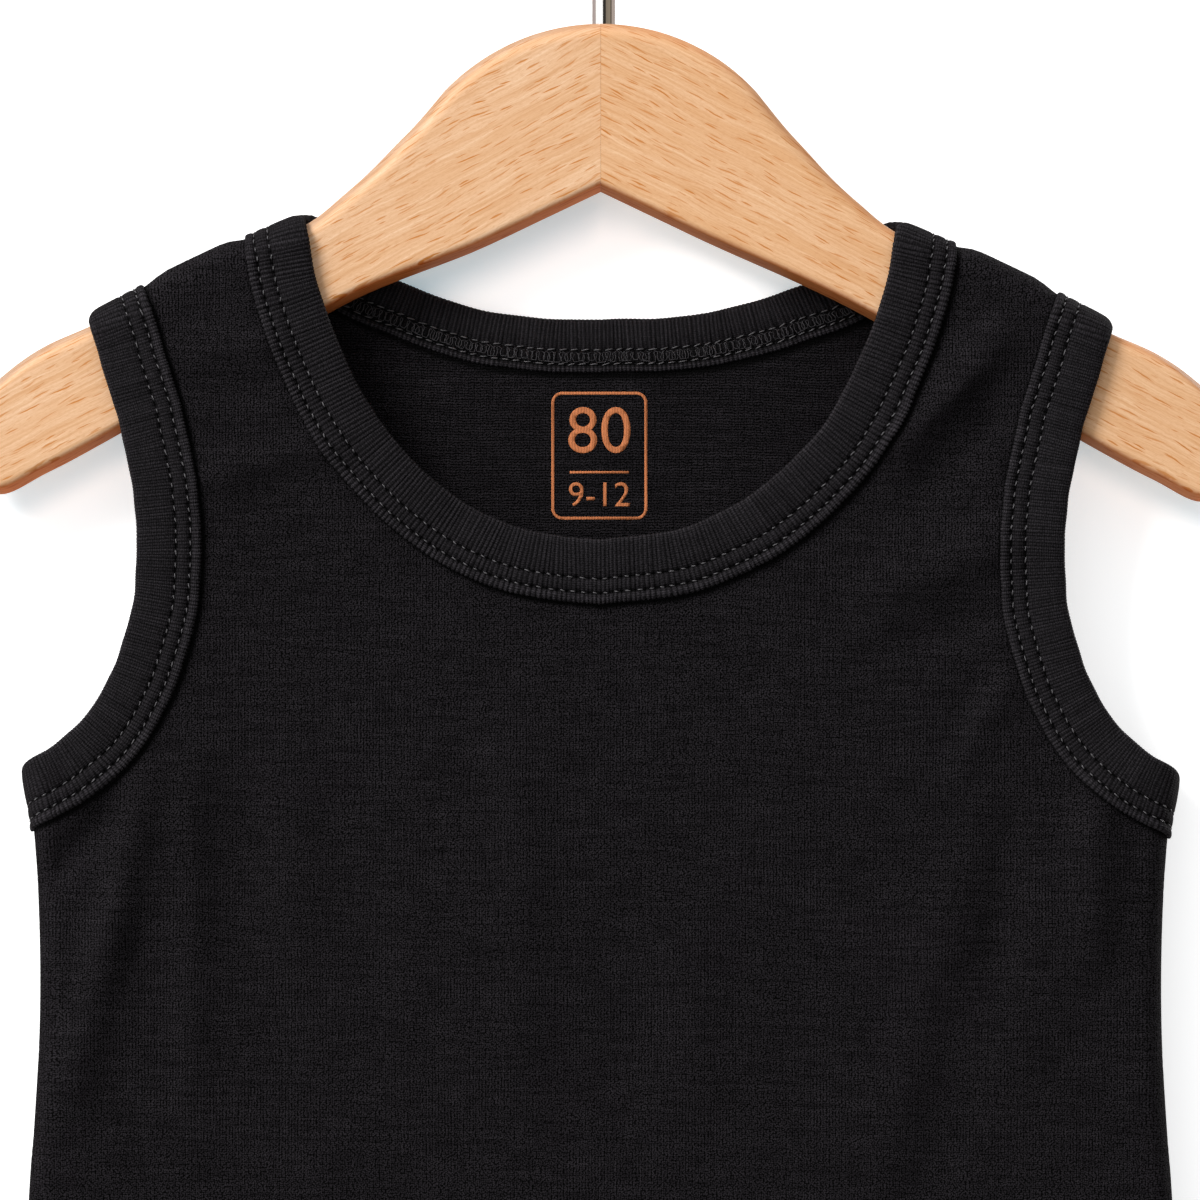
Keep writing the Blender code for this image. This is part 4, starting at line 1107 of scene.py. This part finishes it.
def rib_knit(name, low, high):
    """Black rib: colour from low to high with the yarn's tone, darkened between the ribs and in
    the needle holes by the painted shade that the mesh carries, and lightened on the lip and
    rim by its painted highlight; fine bump from the loops."""
    material, shader, n = new_material(name)
    flat = n.out("ShaderNodeUVMap", "UV", uv_map="cloth")
    knit = knit_on(n, n.mapped(flat, rotation=(0.0, 0.0, 0.5 * math.pi)), 0.50, 0.44)
    yarn = n.ramp(knit["Loops"] * 0.45 + knit["Crimp"] * 0.55, 0.15, 0.80, 0.42, 1.40)
    shade = n.out("ShaderNodeAttribute", "Fac", attribute_name="shade") * yarn
    colour = n.mix(n.ramp(knit["Tone"], 0.05, 0.95), low, high)
    n.feed(shader, {"Base Color": n.mix(1.0, colour, n.grey(shade), "MULTIPLY"), "Roughness": 0.85,
                    "Normal": n.relief(knit["Loops"], 0.5, 0.00015), "Specular IOR Level": 0.06,
                    "Sheen Weight": 0.008, "Sheen Roughness": 0.4})
    return material


def thread_tubes(name, rows, surface, radius, sides, material):
    """Thread as tubes.  rows are arrays of distance along, distance across and height, one
    line of points for each stitch; a ring stands square to the line in the plane of the
    cloth, and the end rings shrink to a third."""
    along, across, height = rows
    run_s, run_c = np.gradient(along, axis=1), np.gradient(across, axis=1)
    size = np.hypot(run_s, run_c)
    size[size == 0.0] = 1.0
    turn = np.arange(sides) * 2.0 * math.pi / sides
    thick = np.full(along.shape[1], radius)
    thick[[0, -1]] *= 0.35
    out = thick[:, None] * np.cos(turn)
    s = along[..., None] - out * (run_c / size)[..., None]
    c = across[..., None] + out * (run_s / size)[..., None]
    h = height[..., None] + thick[:, None] * np.sin(turn)
    points = surface(s, c, h).reshape(-1, 3)
    count, length = along.shape
    one = grid_faces(length, sides, False, True)
    cap = np.arange(sides)
    starts = (np.arange(count) * length * sides)[:, None]
    faces = (one[None] + starts[:, :, None]).reshape(-1, 4).tolist()
    faces += (cap[None] + starts).tolist()
    faces += (cap[::-1][None] + (length - 1) * sides + starts).tolist()
    return mesh_object(name, points, faces, material)


def needle_stitches(run, sewn_to, face):
    """Short arched stitches of both rows.  On the outer face each shows about 1 mm and dives
    into the rib at both ends; on the inner face they lie a little flatter and longer."""
    total = run[4]
    t = np.linspace(-1.0, 1.0, 6)
    rng = np.random.default_rng(7)
    groups = []
    for row, near in enumerate(STITCH_ROWS):
        dense, phase = sewn_to[0], sewn_to[1][row]
        number = np.arange(math.ceil(phase[0]), math.floor(phase[-1]) + 0.5)
        centre = np.interp(number, phase, dense)
        kept = (centre > 1.5) & (centre < total - 1.5) if not run[5] else centre > -1.0
        centre, spread = centre[kept], np.interp(number + 0.5, phase, dense)[kept] - centre[kept]
        half = 0.5 * (rng.uniform(0.86, 1.06, len(centre)) * np.maximum(spread, 0.6))[:, None]
        slant = rng.uniform(0.02, 0.16, len(centre))[:, None]
        along = centre[:, None] + half * t
        across = near + slant * t + rng.uniform(-0.05, 0.05, len(centre))[:, None]
        if face == "outer":
            height = 2.42 - 0.50 * t ** 4 + rng.uniform(-0.04, 0.04, len(centre))[:, None]
        else:
            along = centre[:, None] + 1.4 * half * t
            across = across + 0.10 * t * rng.uniform(-0.5, 1.2, len(centre))[:, None]
            height = -0.66 + 0.26 * t ** 4 + 0.0 * along
        groups.append((along, across + 0.0 * along, height + 0.0 * along))
    return tuple(np.vstack(part) for part in zip(*groups))


def looper_thread(sewn_to, lead, seed):
    """Looper thread on the inner face: from each needle hole of one row it swings over to the
    other row and back, in slanting loops, some pulled tight and some slack.  The lead is how
    many stitches the loops run ahead."""
    dense, phase = sewn_to[0], sewn_to[1][0]
    t = np.linspace(0.0, 1.0, 8)
    start = np.arange(math.ceil(phase[0]) + 1, math.floor(phase[-1]) - 1)[:, None]
    rng = np.random.default_rng(seed)
    slack, tug, tilt = (rng.uniform(low, high, start.shape)
                        for low, high in ((-0.20, 0.20), (0.62, 1.0), (-0.3, 0.3)))
    ahead = lead + slack + t + (0.17 + 0.12 * tilt) * np.sin(4.0 * math.pi * t)
    along = np.interp(start + ahead, phase, dense)
    middle, reach = 0.5 * sum(STITCH_ROWS), 0.5 * (STITCH_ROWS[1] - STITCH_ROWS[0]) - 0.2
    across = middle - reach * tug * np.cos(2.0 * math.pi * t) + 0.3 * tilt
    height = -0.70 - 0.12 * lead + 0.12 * np.cos(2.0 * math.pi * t) ** 2 + 0.0 * along
    return along, across, height


def sewing_thread(name, colour):
    """Spun polyester: slightly glossy, with a fine ply that breaks up its light."""
    material, shader, n = new_material(name)
    ply = n.noise(n.out("ShaderNodeTexCoord", "Object"), 5200.0, 2.0)
    dark = tuple(0.45 * c for c in colour)
    n.feed(shader, {"Base Color": n.mix(n.ramp(ply, 0.35, 0.62), dark, colour), "Roughness": 0.6,
                    "Normal": n.relief(ply, 0.4, 0.00006), "Specular IOR Level": 0.3})
    return material


RIB_LOW = (0.0066, 0.0058, 0.0068)
RIB_HIGH = (0.0284, 0.0257, 0.0290)
# The outer thread's pale charcoal colour is partly its own and partly a painted glint.
outer_thread = sewing_thread("charcoal_and_glint_thread", (0.116, 0.111, 0.117))
inner_thread = sewing_thread("black_looper_thread", (0.046, 0.042, 0.047))


def bind(name, node, run, rib_pitch, per_rib, depth, seed):
    """Makes a binding with its needle stitches and looper thread, and hides the part it replaces."""
    cloth = rib_knit(f"{name}_rib", RIB_LOW, RIB_HIGH)
    sewn_to = stitch_counts(run)
    strip = rib_binding(name, run, sewn_to, rib_pitch, per_rib, depth, seed, cloth)

    def surface(s, c, h):
        return on_run(run, s, np.nan, c, h)

    sewn = [thread_tubes(f"{name}_{kind}", rows, surface, radius, sides, thread)
            for kind, rows, radius, sides, thread in (
                ("stitches", needle_stitches(run, sewn_to, "outer"), 0.145, 5, outer_thread),
                ("inner_stitches", needle_stitches(run, sewn_to, "inner"), 0.13, 4, outer_thread),
                ("looper", looper_thread(sewn_to, 0.0, 19), 0.10, 4, inner_thread),
                ("second_looper", looper_thread(sewn_to, 0.45, 23), 0.075, 4, inner_thread))]
    for piece in [strip] + sewn:
        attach(piece, "root")
    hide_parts(node)


neck_front, neck_back = opening_edge("neck", "front"), opening_edge("neck", "back")
neck_run = join_edges([(mirrored(neck_front, -1.0), "front"), (neck_front[::-1], "front"),
                       (neck_back, "back"), (mirrored(neck_back, -1.0)[::-1], "back")], True)
bind("neck_rib_binding", "neck_binding", neck_run, 0.88, 4, 0.17, 3)
for side_name, hand, seed in (("left", -1.0, 11), ("right", 1.0, 12)):
    arm_run = join_edges([(mirrored(opening_edge("arm", "front"), hand), "front"),
                          (mirrored(opening_edge("arm", "back"), hand)[::-1], "back")], True)
    bind(f"armhole_rib_binding_{side_name}", f"armhole_binding_{side_name}", arm_run, 0.66, 3, 0.11, seed)
    leg_run = join_edges([(mirrored(opening_edge("leg", "front"), hand)[::-1], "front"),
                          (mirrored(opening_edge("leg", "back"), hand), "back")], False)
    bind(f"leg_rib_binding_{side_name}", f"leg_binding_{side_name}", leg_run, 0.88, 2, 0.12,
         seed + 4)


# ============================================================== hem of the front flap
# The flap's end is turned in once and stitched down.

def flap_surface(s, c, h):
    """Maps distance along the hem, height on the cut and height off the cloth to space."""
    return skin(s, c, "front", h)


HEM_HALF = 33.0
HEM_DEPTH = 11.2
HEM_STITCH_HALF = 0.85
hem_x = np.arange(-HEM_HALF, HEM_HALF + 0.1, STITCH_PITCH)[:, None]
hem_t = np.linspace(-1.0, 1.0, 6)
hem_rows = (hem_x + HEM_STITCH_HALF * hem_t, FLAP_HEM_Z + HEM_DEPTH + 0.06 * hem_t + 0.0 * hem_x,
            1.60 - 0.42 * hem_t ** 2 + 0.0 * hem_x)
hem = thread_tubes("flap_hem_stitches", hem_rows, flap_surface, 0.17, 5, outer_thread)
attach(hem, "root")


# ============================================================== size print
# Water based copper ink, screen printed on the inside of the back below the neck: the
# garment's size in digits, in a thin frame.

PRINT_CENTRE = (-0.3, -148.6)
PRINT_SIZE = (21.0, 28.0)
PRINT_CORNER = 2.4
PRINT_LINE = 0.62
PRINT_CELL = 1.5
RULE_Z = (-3.9, -3.4)
DIGITS = (("80", 14.5, 5.0), ("9-12", 7.6, -8.8))     # text, size, height of its middle


def round_frame(width, height, corner, steps):
    """Rounded rectangle about the origin: four quarter circles joined by straight sides."""
    quarter = np.linspace(0.0, 0.5 * math.pi, steps)
    half = np.array([0.5 * width - corner, 0.5 * height - corner])
    return np.vstack([half * signs + corner * np.stack([np.cos(quarter + start), np.sin(quarter + start)], 1)
                      for start, signs in ((0.0, (1, 1)), (0.5 * math.pi, (-1, 1)), (math.pi, (-1, -1)),
                                           (1.5 * math.pi, (1, -1)))])


def triangles_of(bm, axes):
    """Points, as the chosen two of their coordinates, and triangles of a mesh, which ends here."""
    bmesh.ops.triangulate(bm, faces=bm.faces)
    bm.verts.index_update()
    points = np.array([v.co[:] for v in bm.verts])[:, axes]
    triangles = np.array([[v.index for v in f.verts] for f in bm.faces])
    bm.free()
    return points, triangles


def digits_mesh(text, size, centre_z):
    """Flat triangles of a line of digits, centred across the print, in millimetres."""
    curve = bpy.data.curves.new("digits", "FONT")
    curve.body = text
    curve.size = size
    curve.align_x = "CENTER"
    curve.align_y = "CENTER"
    curve.resolution_u = 6
    letters = bpy.data.objects.new("digits", curve)
    bm = bmesh.new()
    bm.from_mesh(bpy.data.meshes.new_from_object(letters))
    bpy.data.objects.remove(letters, do_unlink=True)
    points, triangles = triangles_of(bm, [0, 1])
    return points + (0.0, centre_z), triangles


def print_artwork():
    """All the print's triangles in its own plane, cut along a grid so that they follow the
    cloth."""
    outer = round_frame(PRINT_SIZE[0], PRINT_SIZE[1], PRINT_CORNER, 9)
    inner = round_frame(PRINT_SIZE[0] - 2 * PRINT_LINE, PRINT_SIZE[1] - 2 * PRINT_LINE,
                        PRINT_CORNER - PRINT_LINE, 9)
    count = len(outer)
    here, there = np.arange(count), (np.arange(count) + 1) % count
    frame_tris = np.vstack([np.stack([here, there, there + count], 1),
                            np.stack([here, there + count, here + count], 1)])
    half = 0.5 * PRINT_SIZE[0] - 4.0
    rule = [(-half, RULE_Z[0]), (half, RULE_Z[0]), (half, RULE_Z[1]), (-half, RULE_Z[1])]
    bm = bmesh.new()
    for points, triangles in [(np.vstack([outer, inner]), frame_tris), (rule, ((0, 1, 2), (0, 2, 3)))
                              ] + [digits_mesh(*line) for line in DIGITS]:
        verts = [bm.verts.new((x, 0.0, z)) for x, z in points]
        for triangle in triangles:
            bm.faces.new([verts[k] for k in triangle])
    for axis, limit in ((0, 12.0), (2, 15.0)):
        for at in np.arange(-limit, limit, PRINT_CELL):
            normal = np.eye(3)[axis]
            bmesh.ops.bisect_plane(bm, geom=bm.verts[:] + bm.edges[:] + bm.faces[:], dist=1e-5,
                                   plane_co=(normal * at).tolist(), plane_no=normal.tolist())
    points, triangles = triangles_of(bm, [0, 2])
    return points + PRINT_CENTRE, triangles


def copper_ink(name):
    """Flat copper ink that sits on the loops: slightly broken where the knit is deep."""
    material, shader, n = new_material(name)
    knit = knit_on(n, n.out("ShaderNodeUVMap", "UV", uv_map="cloth"), 0.62, 0.50)
    cover = n.ramp(knit["Loops"], 0.05, 0.5, 0.55, 1.0) * n.ramp(knit["Tone"], 0.30, 0.55, 0.72, 1.0)
    n.feed(shader, {"Base Color": n.mix(cover, (0.16, 0.052, 0.020), (0.520, 0.170, 0.062)),
                    "Roughness": 0.7, "Normal": n.relief(knit["Loops"], 0.4, 0.0001),
                    "Specular IOR Level": 0.2})
    return material


ink_plane, ink_triangles = print_artwork()
ink_low, ink_high = (skin(ink_plane[:, 0], ink_plane[:, 1], "back", np.full(len(ink_plane), h))
                     for h in (-0.07, -0.02))
ink = shell_of("size_print", ink_plane, ink_triangles, ink_low, ink_high, copper_ink("copper_ink"))
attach(ink, "root")


# ============================================================== press studs
# Three four-part ring studs of pressed brass along the crotch.  The cap is stove enamelled
# black; socket, stud and back ring are nickel plated.

SNAP_X = (-24.0, 0.0, 24.0)
SNAP_Z = -507.0
FLAP_OUT = -(DEPTH_HANGING + 1.43)
FLAP_IN = -DEPTH_HANGING + 0.02
TAB_IN = DEPTH_HANGING - 2.0 * TURN_RADIUS + 0.04
TAB_OUT = DEPTH_HANGING - 2.0 * TURN_RADIUS - 1.14
# radius, and y from the layer of cloth that the part is pressed on
CAP = ((4.75, 0.25), (4.8, -0.05), (4.78, -0.35), (4.6, -0.72), (4.25, -0.98), (3.6, -1.12),
       (2.7, -1.14), (2.2, -1.0), (1.9, -0.84), (1.0, -0.82), (0.02, -0.82))
SOCKET = ((4.6, 0.0), (4.6, 0.5), (4.35, 0.8), (3.6, 1.0), (3.3, 1.4), (2.9, 1.58), (2.35, 1.55),
          (2.1, 1.3), (2.1, 0.1))
STUD = ((4.6, 0.05), (4.6, -0.25), (4.3, -0.48), (2.2, -0.62), (1.7, -0.85), (1.52, -1.25),
        (1.62, -1.65), (1.75, -1.95), (1.55, -2.3), (1.1, -2.45), (0.02, -2.5))
BACK_RING = ((4.5, 0.0), (4.45, 0.35), (4.2, 0.68), (3.4, 0.85), (2.7, 0.72), (2.35, 0.4), (2.3, 0.0))


def turned_piece(name, profile, base, x, ring, material):
    """Profile of radius and y, turned about a line along Y; a ring's profile closes on itself,
    and a plain piece is closed by its end circles."""
    radius, y = np.array(profile).T
    turn = np.arange(40) * math.pi / 20.0
    points = np.stack([x + radius[:, None] * np.cos(turn), base + y[:, None] + 0.0 * turn,
                       SNAP_Z + radius[:, None] * np.sin(turn)], -1).reshape(-1, 3)
    faces = grid_faces(len(profile), 40, ring, True).tolist()
    if not ring:
        around = np.arange(40)
        faces += [around.tolist(), (around[::-1] + 40 * (len(profile) - 1)).tolist()]
    return mesh_object(name, points, faces, material)


def stud_enamel(name):
    """Black stove enamel with a satin orange peel and dust of wear."""
    material, shader, n = new_material(name)
    spot = n.out("ShaderNodeTexCoord", "Object")
    haze = n.noise(spot, 420.0, 4.0, 0.6)
    colour = n.mix(n.ramp(haze, 0.35, 0.7), (0.010, 0.010, 0.011), (0.022, 0.021, 0.022))
    n.feed(shader, {"Base Color": colour, "Roughness": n.ramp(haze, 0.3, 0.7, 0.26, 0.42),
                    "Normal": n.relief(n.noise(spot, 1500.0, 2.0), 0.15, 0.00005)})
    return material


enamel, plate = stud_enamel("stud_enamel"), nickel_plate("stud_nickel", 0.22)
for number, x in enumerate(SNAP_X, 1):
    for part, profile, base, ring, material, slot in (("cap", CAP, FLAP_OUT, False, enamel, "stud_paint"),
                                                      ("socket", SOCKET, FLAP_IN, True, plate, "nickel"),
                                                      ("stud", STUD, TAB_OUT, False, plate, "nickel"),
                                                      ("ring", BACK_RING, TAB_IN, True, plate, "nickel")):
        piece = turned_piece(f"stud_{part}_{number}", profile, base, x, ring, material)
        piece.data.set_sharp_from_angle(angle=math.radians(50.0))
        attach(piece, "root")
        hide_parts(f"snap_{part}_{number}")


# ============================================================== studio
# White wall just behind the hanger and a pale floor below it.  Both show only from their
# front, and let every other ray through, so that the garment can be seen and lit all round.
# One of the three lamps is linked to the cloth alone and rakes over its back and right side.

def paper(name, colour):
    """White paper that only camera rays on its front meet.  Its own faint glow, a painted light,
    lifts it to a clean white wherever the shadows are thin.  Just under the hanger the glow
    fades to a dim blue as a painted shadow: over 12 mm in the notch's left half, over 8 mm
    elsewhere."""
    material, shader, n = new_material(name)
    spot = n.out("ShaderNodeTexCoord", "Object")
    x, _, z = n.split(spot)
    away = abs(x)
    # Painted shadow under the hanger: the glow fades to a dim blue within 8 to 12 mm below its underside.
    below = away * -0.45 - 0.0912 - away * away * 0.6 - z
    notch = n.ramp(x, -0.004, 0.008, 1.0, 0.0) * n.ramp(x, -0.080, -0.062)
    fade = 1.0 - n.ramp(below / (notch * 0.004 + 0.008), 0.0, 1.0)
    fade = fade * n.math("GREATER_THAN", below, -0.015) * n.ramp(away, 0.130, 0.140, 1.0, 0.0)
    glow = n.mix(fade * (notch * 0.34 + 0.66), (0.60, 0.60, 0.60), (0.144, 0.274, 0.336))
    n.feed(shader, {"Base Color": n.mix(n.noise(spot, 6.0, 2.0), tuple(0.995 * c for c in colour), colour),
                    "Emission Color": glow, "Emission Strength": 1.0, "Roughness": 1.0,
                    "Specular IOR Level": 0.0})
    front = 1.0 - n.out("ShaderNodeNewGeometry", "Backfacing")
    seen = n.out("ShaderNodeLightPath", "Is Camera Ray") * front
    shown = n.out("ShaderNodeMixShader", 0, {0: seen, 1: n.out("ShaderNodeBsdfTransparent", 0),
                                             2: Value(n, shader.outputs[0])})
    n.feed(material.node_tree.nodes["Material Output"], {"Surface": shown})
    return material


def sheet_of_paper(name, corners, material):
    """One flat sheet from its four corners, in metres, facing the side they run round
    anticlockwise."""
    mesh = bpy.data.meshes.new(name)
    mesh.from_pydata(corners, [], [(0, 1, 2, 3)])
    mesh.materials.append(material)
    new_object(name, mesh)


WALL_Y = 0.0125
FLOOR_Z = -0.75
white = paper("white_paper", (0.90, 0.90, 0.90))
sheet_of_paper("wall", [(-5.0, WALL_Y, FLOOR_Z), (5.0, WALL_Y, FLOOR_Z), (5.0, WALL_Y, 4.0),
                        (-5.0, WALL_Y, 4.0)], white)
sheet_of_paper("floor", [(-5.0, -5.0, FLOOR_Z), (5.0, -5.0, FLOOR_Z), (5.0, 5.0, FLOOR_Z),
                         (-5.0, 5.0, FLOOR_Z)], white)


def softbox(name, place, aim, size, power, colour):
    """Square lamp at a place, turned towards its aim."""
    lamp = bpy.data.lights.new(name, "AREA")
    lamp.size = size
    lamp.energy = power
    lamp.color = colour
    holder = new_object(name, lamp)
    holder.location = place
    away = np.array(place) - np.array(aim)
    holder.rotation_euler = (math.atan2(math.hypot(away[0], away[1]), away[2]), 0.0,
                             math.atan2(away[0], -away[1]))
    return holder


softbox("key_light", (-1.5, -1.45, 1.25), (0.0, 0.0, -0.2), 0.9, 56.0, (1.0, 0.99, 0.975))
softbox("back_light", (0.9, 2.2, 0.9), (0.0, 0.0, -0.25), 1.2, 8.0, (1.0, 1.0, 1.0))
cloth_light = softbox("cloth_light", (1.9, 1.3, 0.5), (0.0, 0.0, -0.25), 0.8, 36.0, (1.0, 1.0, 1.0))
lit_cloth = bpy.data.collections.new("lit_cloth")
for cloth_piece in bpy.context.scene.objects:
    if cloth_piece.name.endswith(("_jersey", "_stitches")) or "_rib_binding" in cloth_piece.name:
        lit_cloth.objects.link(cloth_piece)
cloth_light.light_linking.receiver_collection = lit_cloth


def studio_world():
    """Light from all round: brightest above and to the left, dim ahead of the floor, with a
    white floor behind.  Polished metal sees the room instead: a white screen to the left, a
    dark gap ahead, dim walls to the right.  The camera sees plain white."""
    world = bpy.data.worlds.new("studio")
    bpy.context.scene.world = world
    world.use_nodes = True
    n = Nodes(world.node_tree)
    direction = n.out("ShaderNodeTexCoord", "Generated")
    x, y, _ = n.split(direction)

    def toward(axis):
        return n.out("ShaderNodeVectorMath", "Value", {0: direction, 1: axis}, operation="DOT_PRODUCT")

    soft = n.mix(n.ramp(toward((-0.46, -0.50, 0.73)), -0.5, 0.9), (0.05, 0.05, 0.05), (0.92, 0.93, 0.94))
    soft = n.mix(n.ramp(toward((0.0, 0.60, -0.80)), 0.3, 0.9), soft, (1.50, 1.48, 1.45))
    room = n.add("ShaderNodeValToRGB", {0: n.math("ARCTAN2", x, y * -1.0) * (0.5 / math.pi) + 0.5})
    stops = ((0.0, (0.42, 0.37, 0.36)), (0.255, (0.52, 0.44, 0.42)), (0.262, (1.25, 1.25, 1.25)),
             (0.470, (1.25, 1.25, 1.25)), (0.480, (0.030, 0.028, 0.026)), (0.555, (0.040, 0.036, 0.030)),
             (0.566, (0.24, 0.20, 0.155)), (0.700, (0.30, 0.25, 0.19)), (0.712, (0.06, 0.05, 0.04)),
             (0.735, (0.06, 0.05, 0.04)), (0.750, (0.48, 0.40, 0.35)), (1.0, (0.42, 0.37, 0.36)))
    marks = room.color_ramp.elements
    marks.remove(marks[0])
    marks[0].position = stops[0][0]
    marks[0].color = (*stops[0][1], 1.0)
    for spot, colour in stops[1:]:
        marks.new(spot).color = (*colour, 1.0)
    rays = n.outs("ShaderNodeLightPath")
    seen = n.mix(rays["Is Glossy Ray"], soft, Value(n, room.outputs["Color"]))
    seen = n.mix(rays["Is Camera Ray"], seen, (1.0, 1.0, 1.0))
    n.feed(world.node_tree.nodes["Background"], {"Color": seen, "Strength": 1.0})


studio_world()
bpy.context.scene.view_settings.view_transform = "Standard"

VIEW_CENTRE = (-0.00015, -0.1802)
VIEW_WIDTH = 0.2609
VIEW_DISTANCE = 1.6
HANGER_FRONT = 0.006          # the view's width is measured on the hanger's front face
SENSOR_WIDTH = 36.0
lens = bpy.data.cameras.new("camera")
lens.sensor_width = SENSOR_WIDTH
lens.lens = SENSOR_WIDTH * (VIEW_DISTANCE - HANGER_FRONT) / VIEW_WIDTH
camera = new_object("camera", lens)
camera.location = (VIEW_CENTRE[0], -VIEW_DISTANCE, VIEW_CENTRE[1])
camera.rotation_euler = (0.5 * math.pi, 0.0, 0.0)
bpy.context.scene.camera = camera
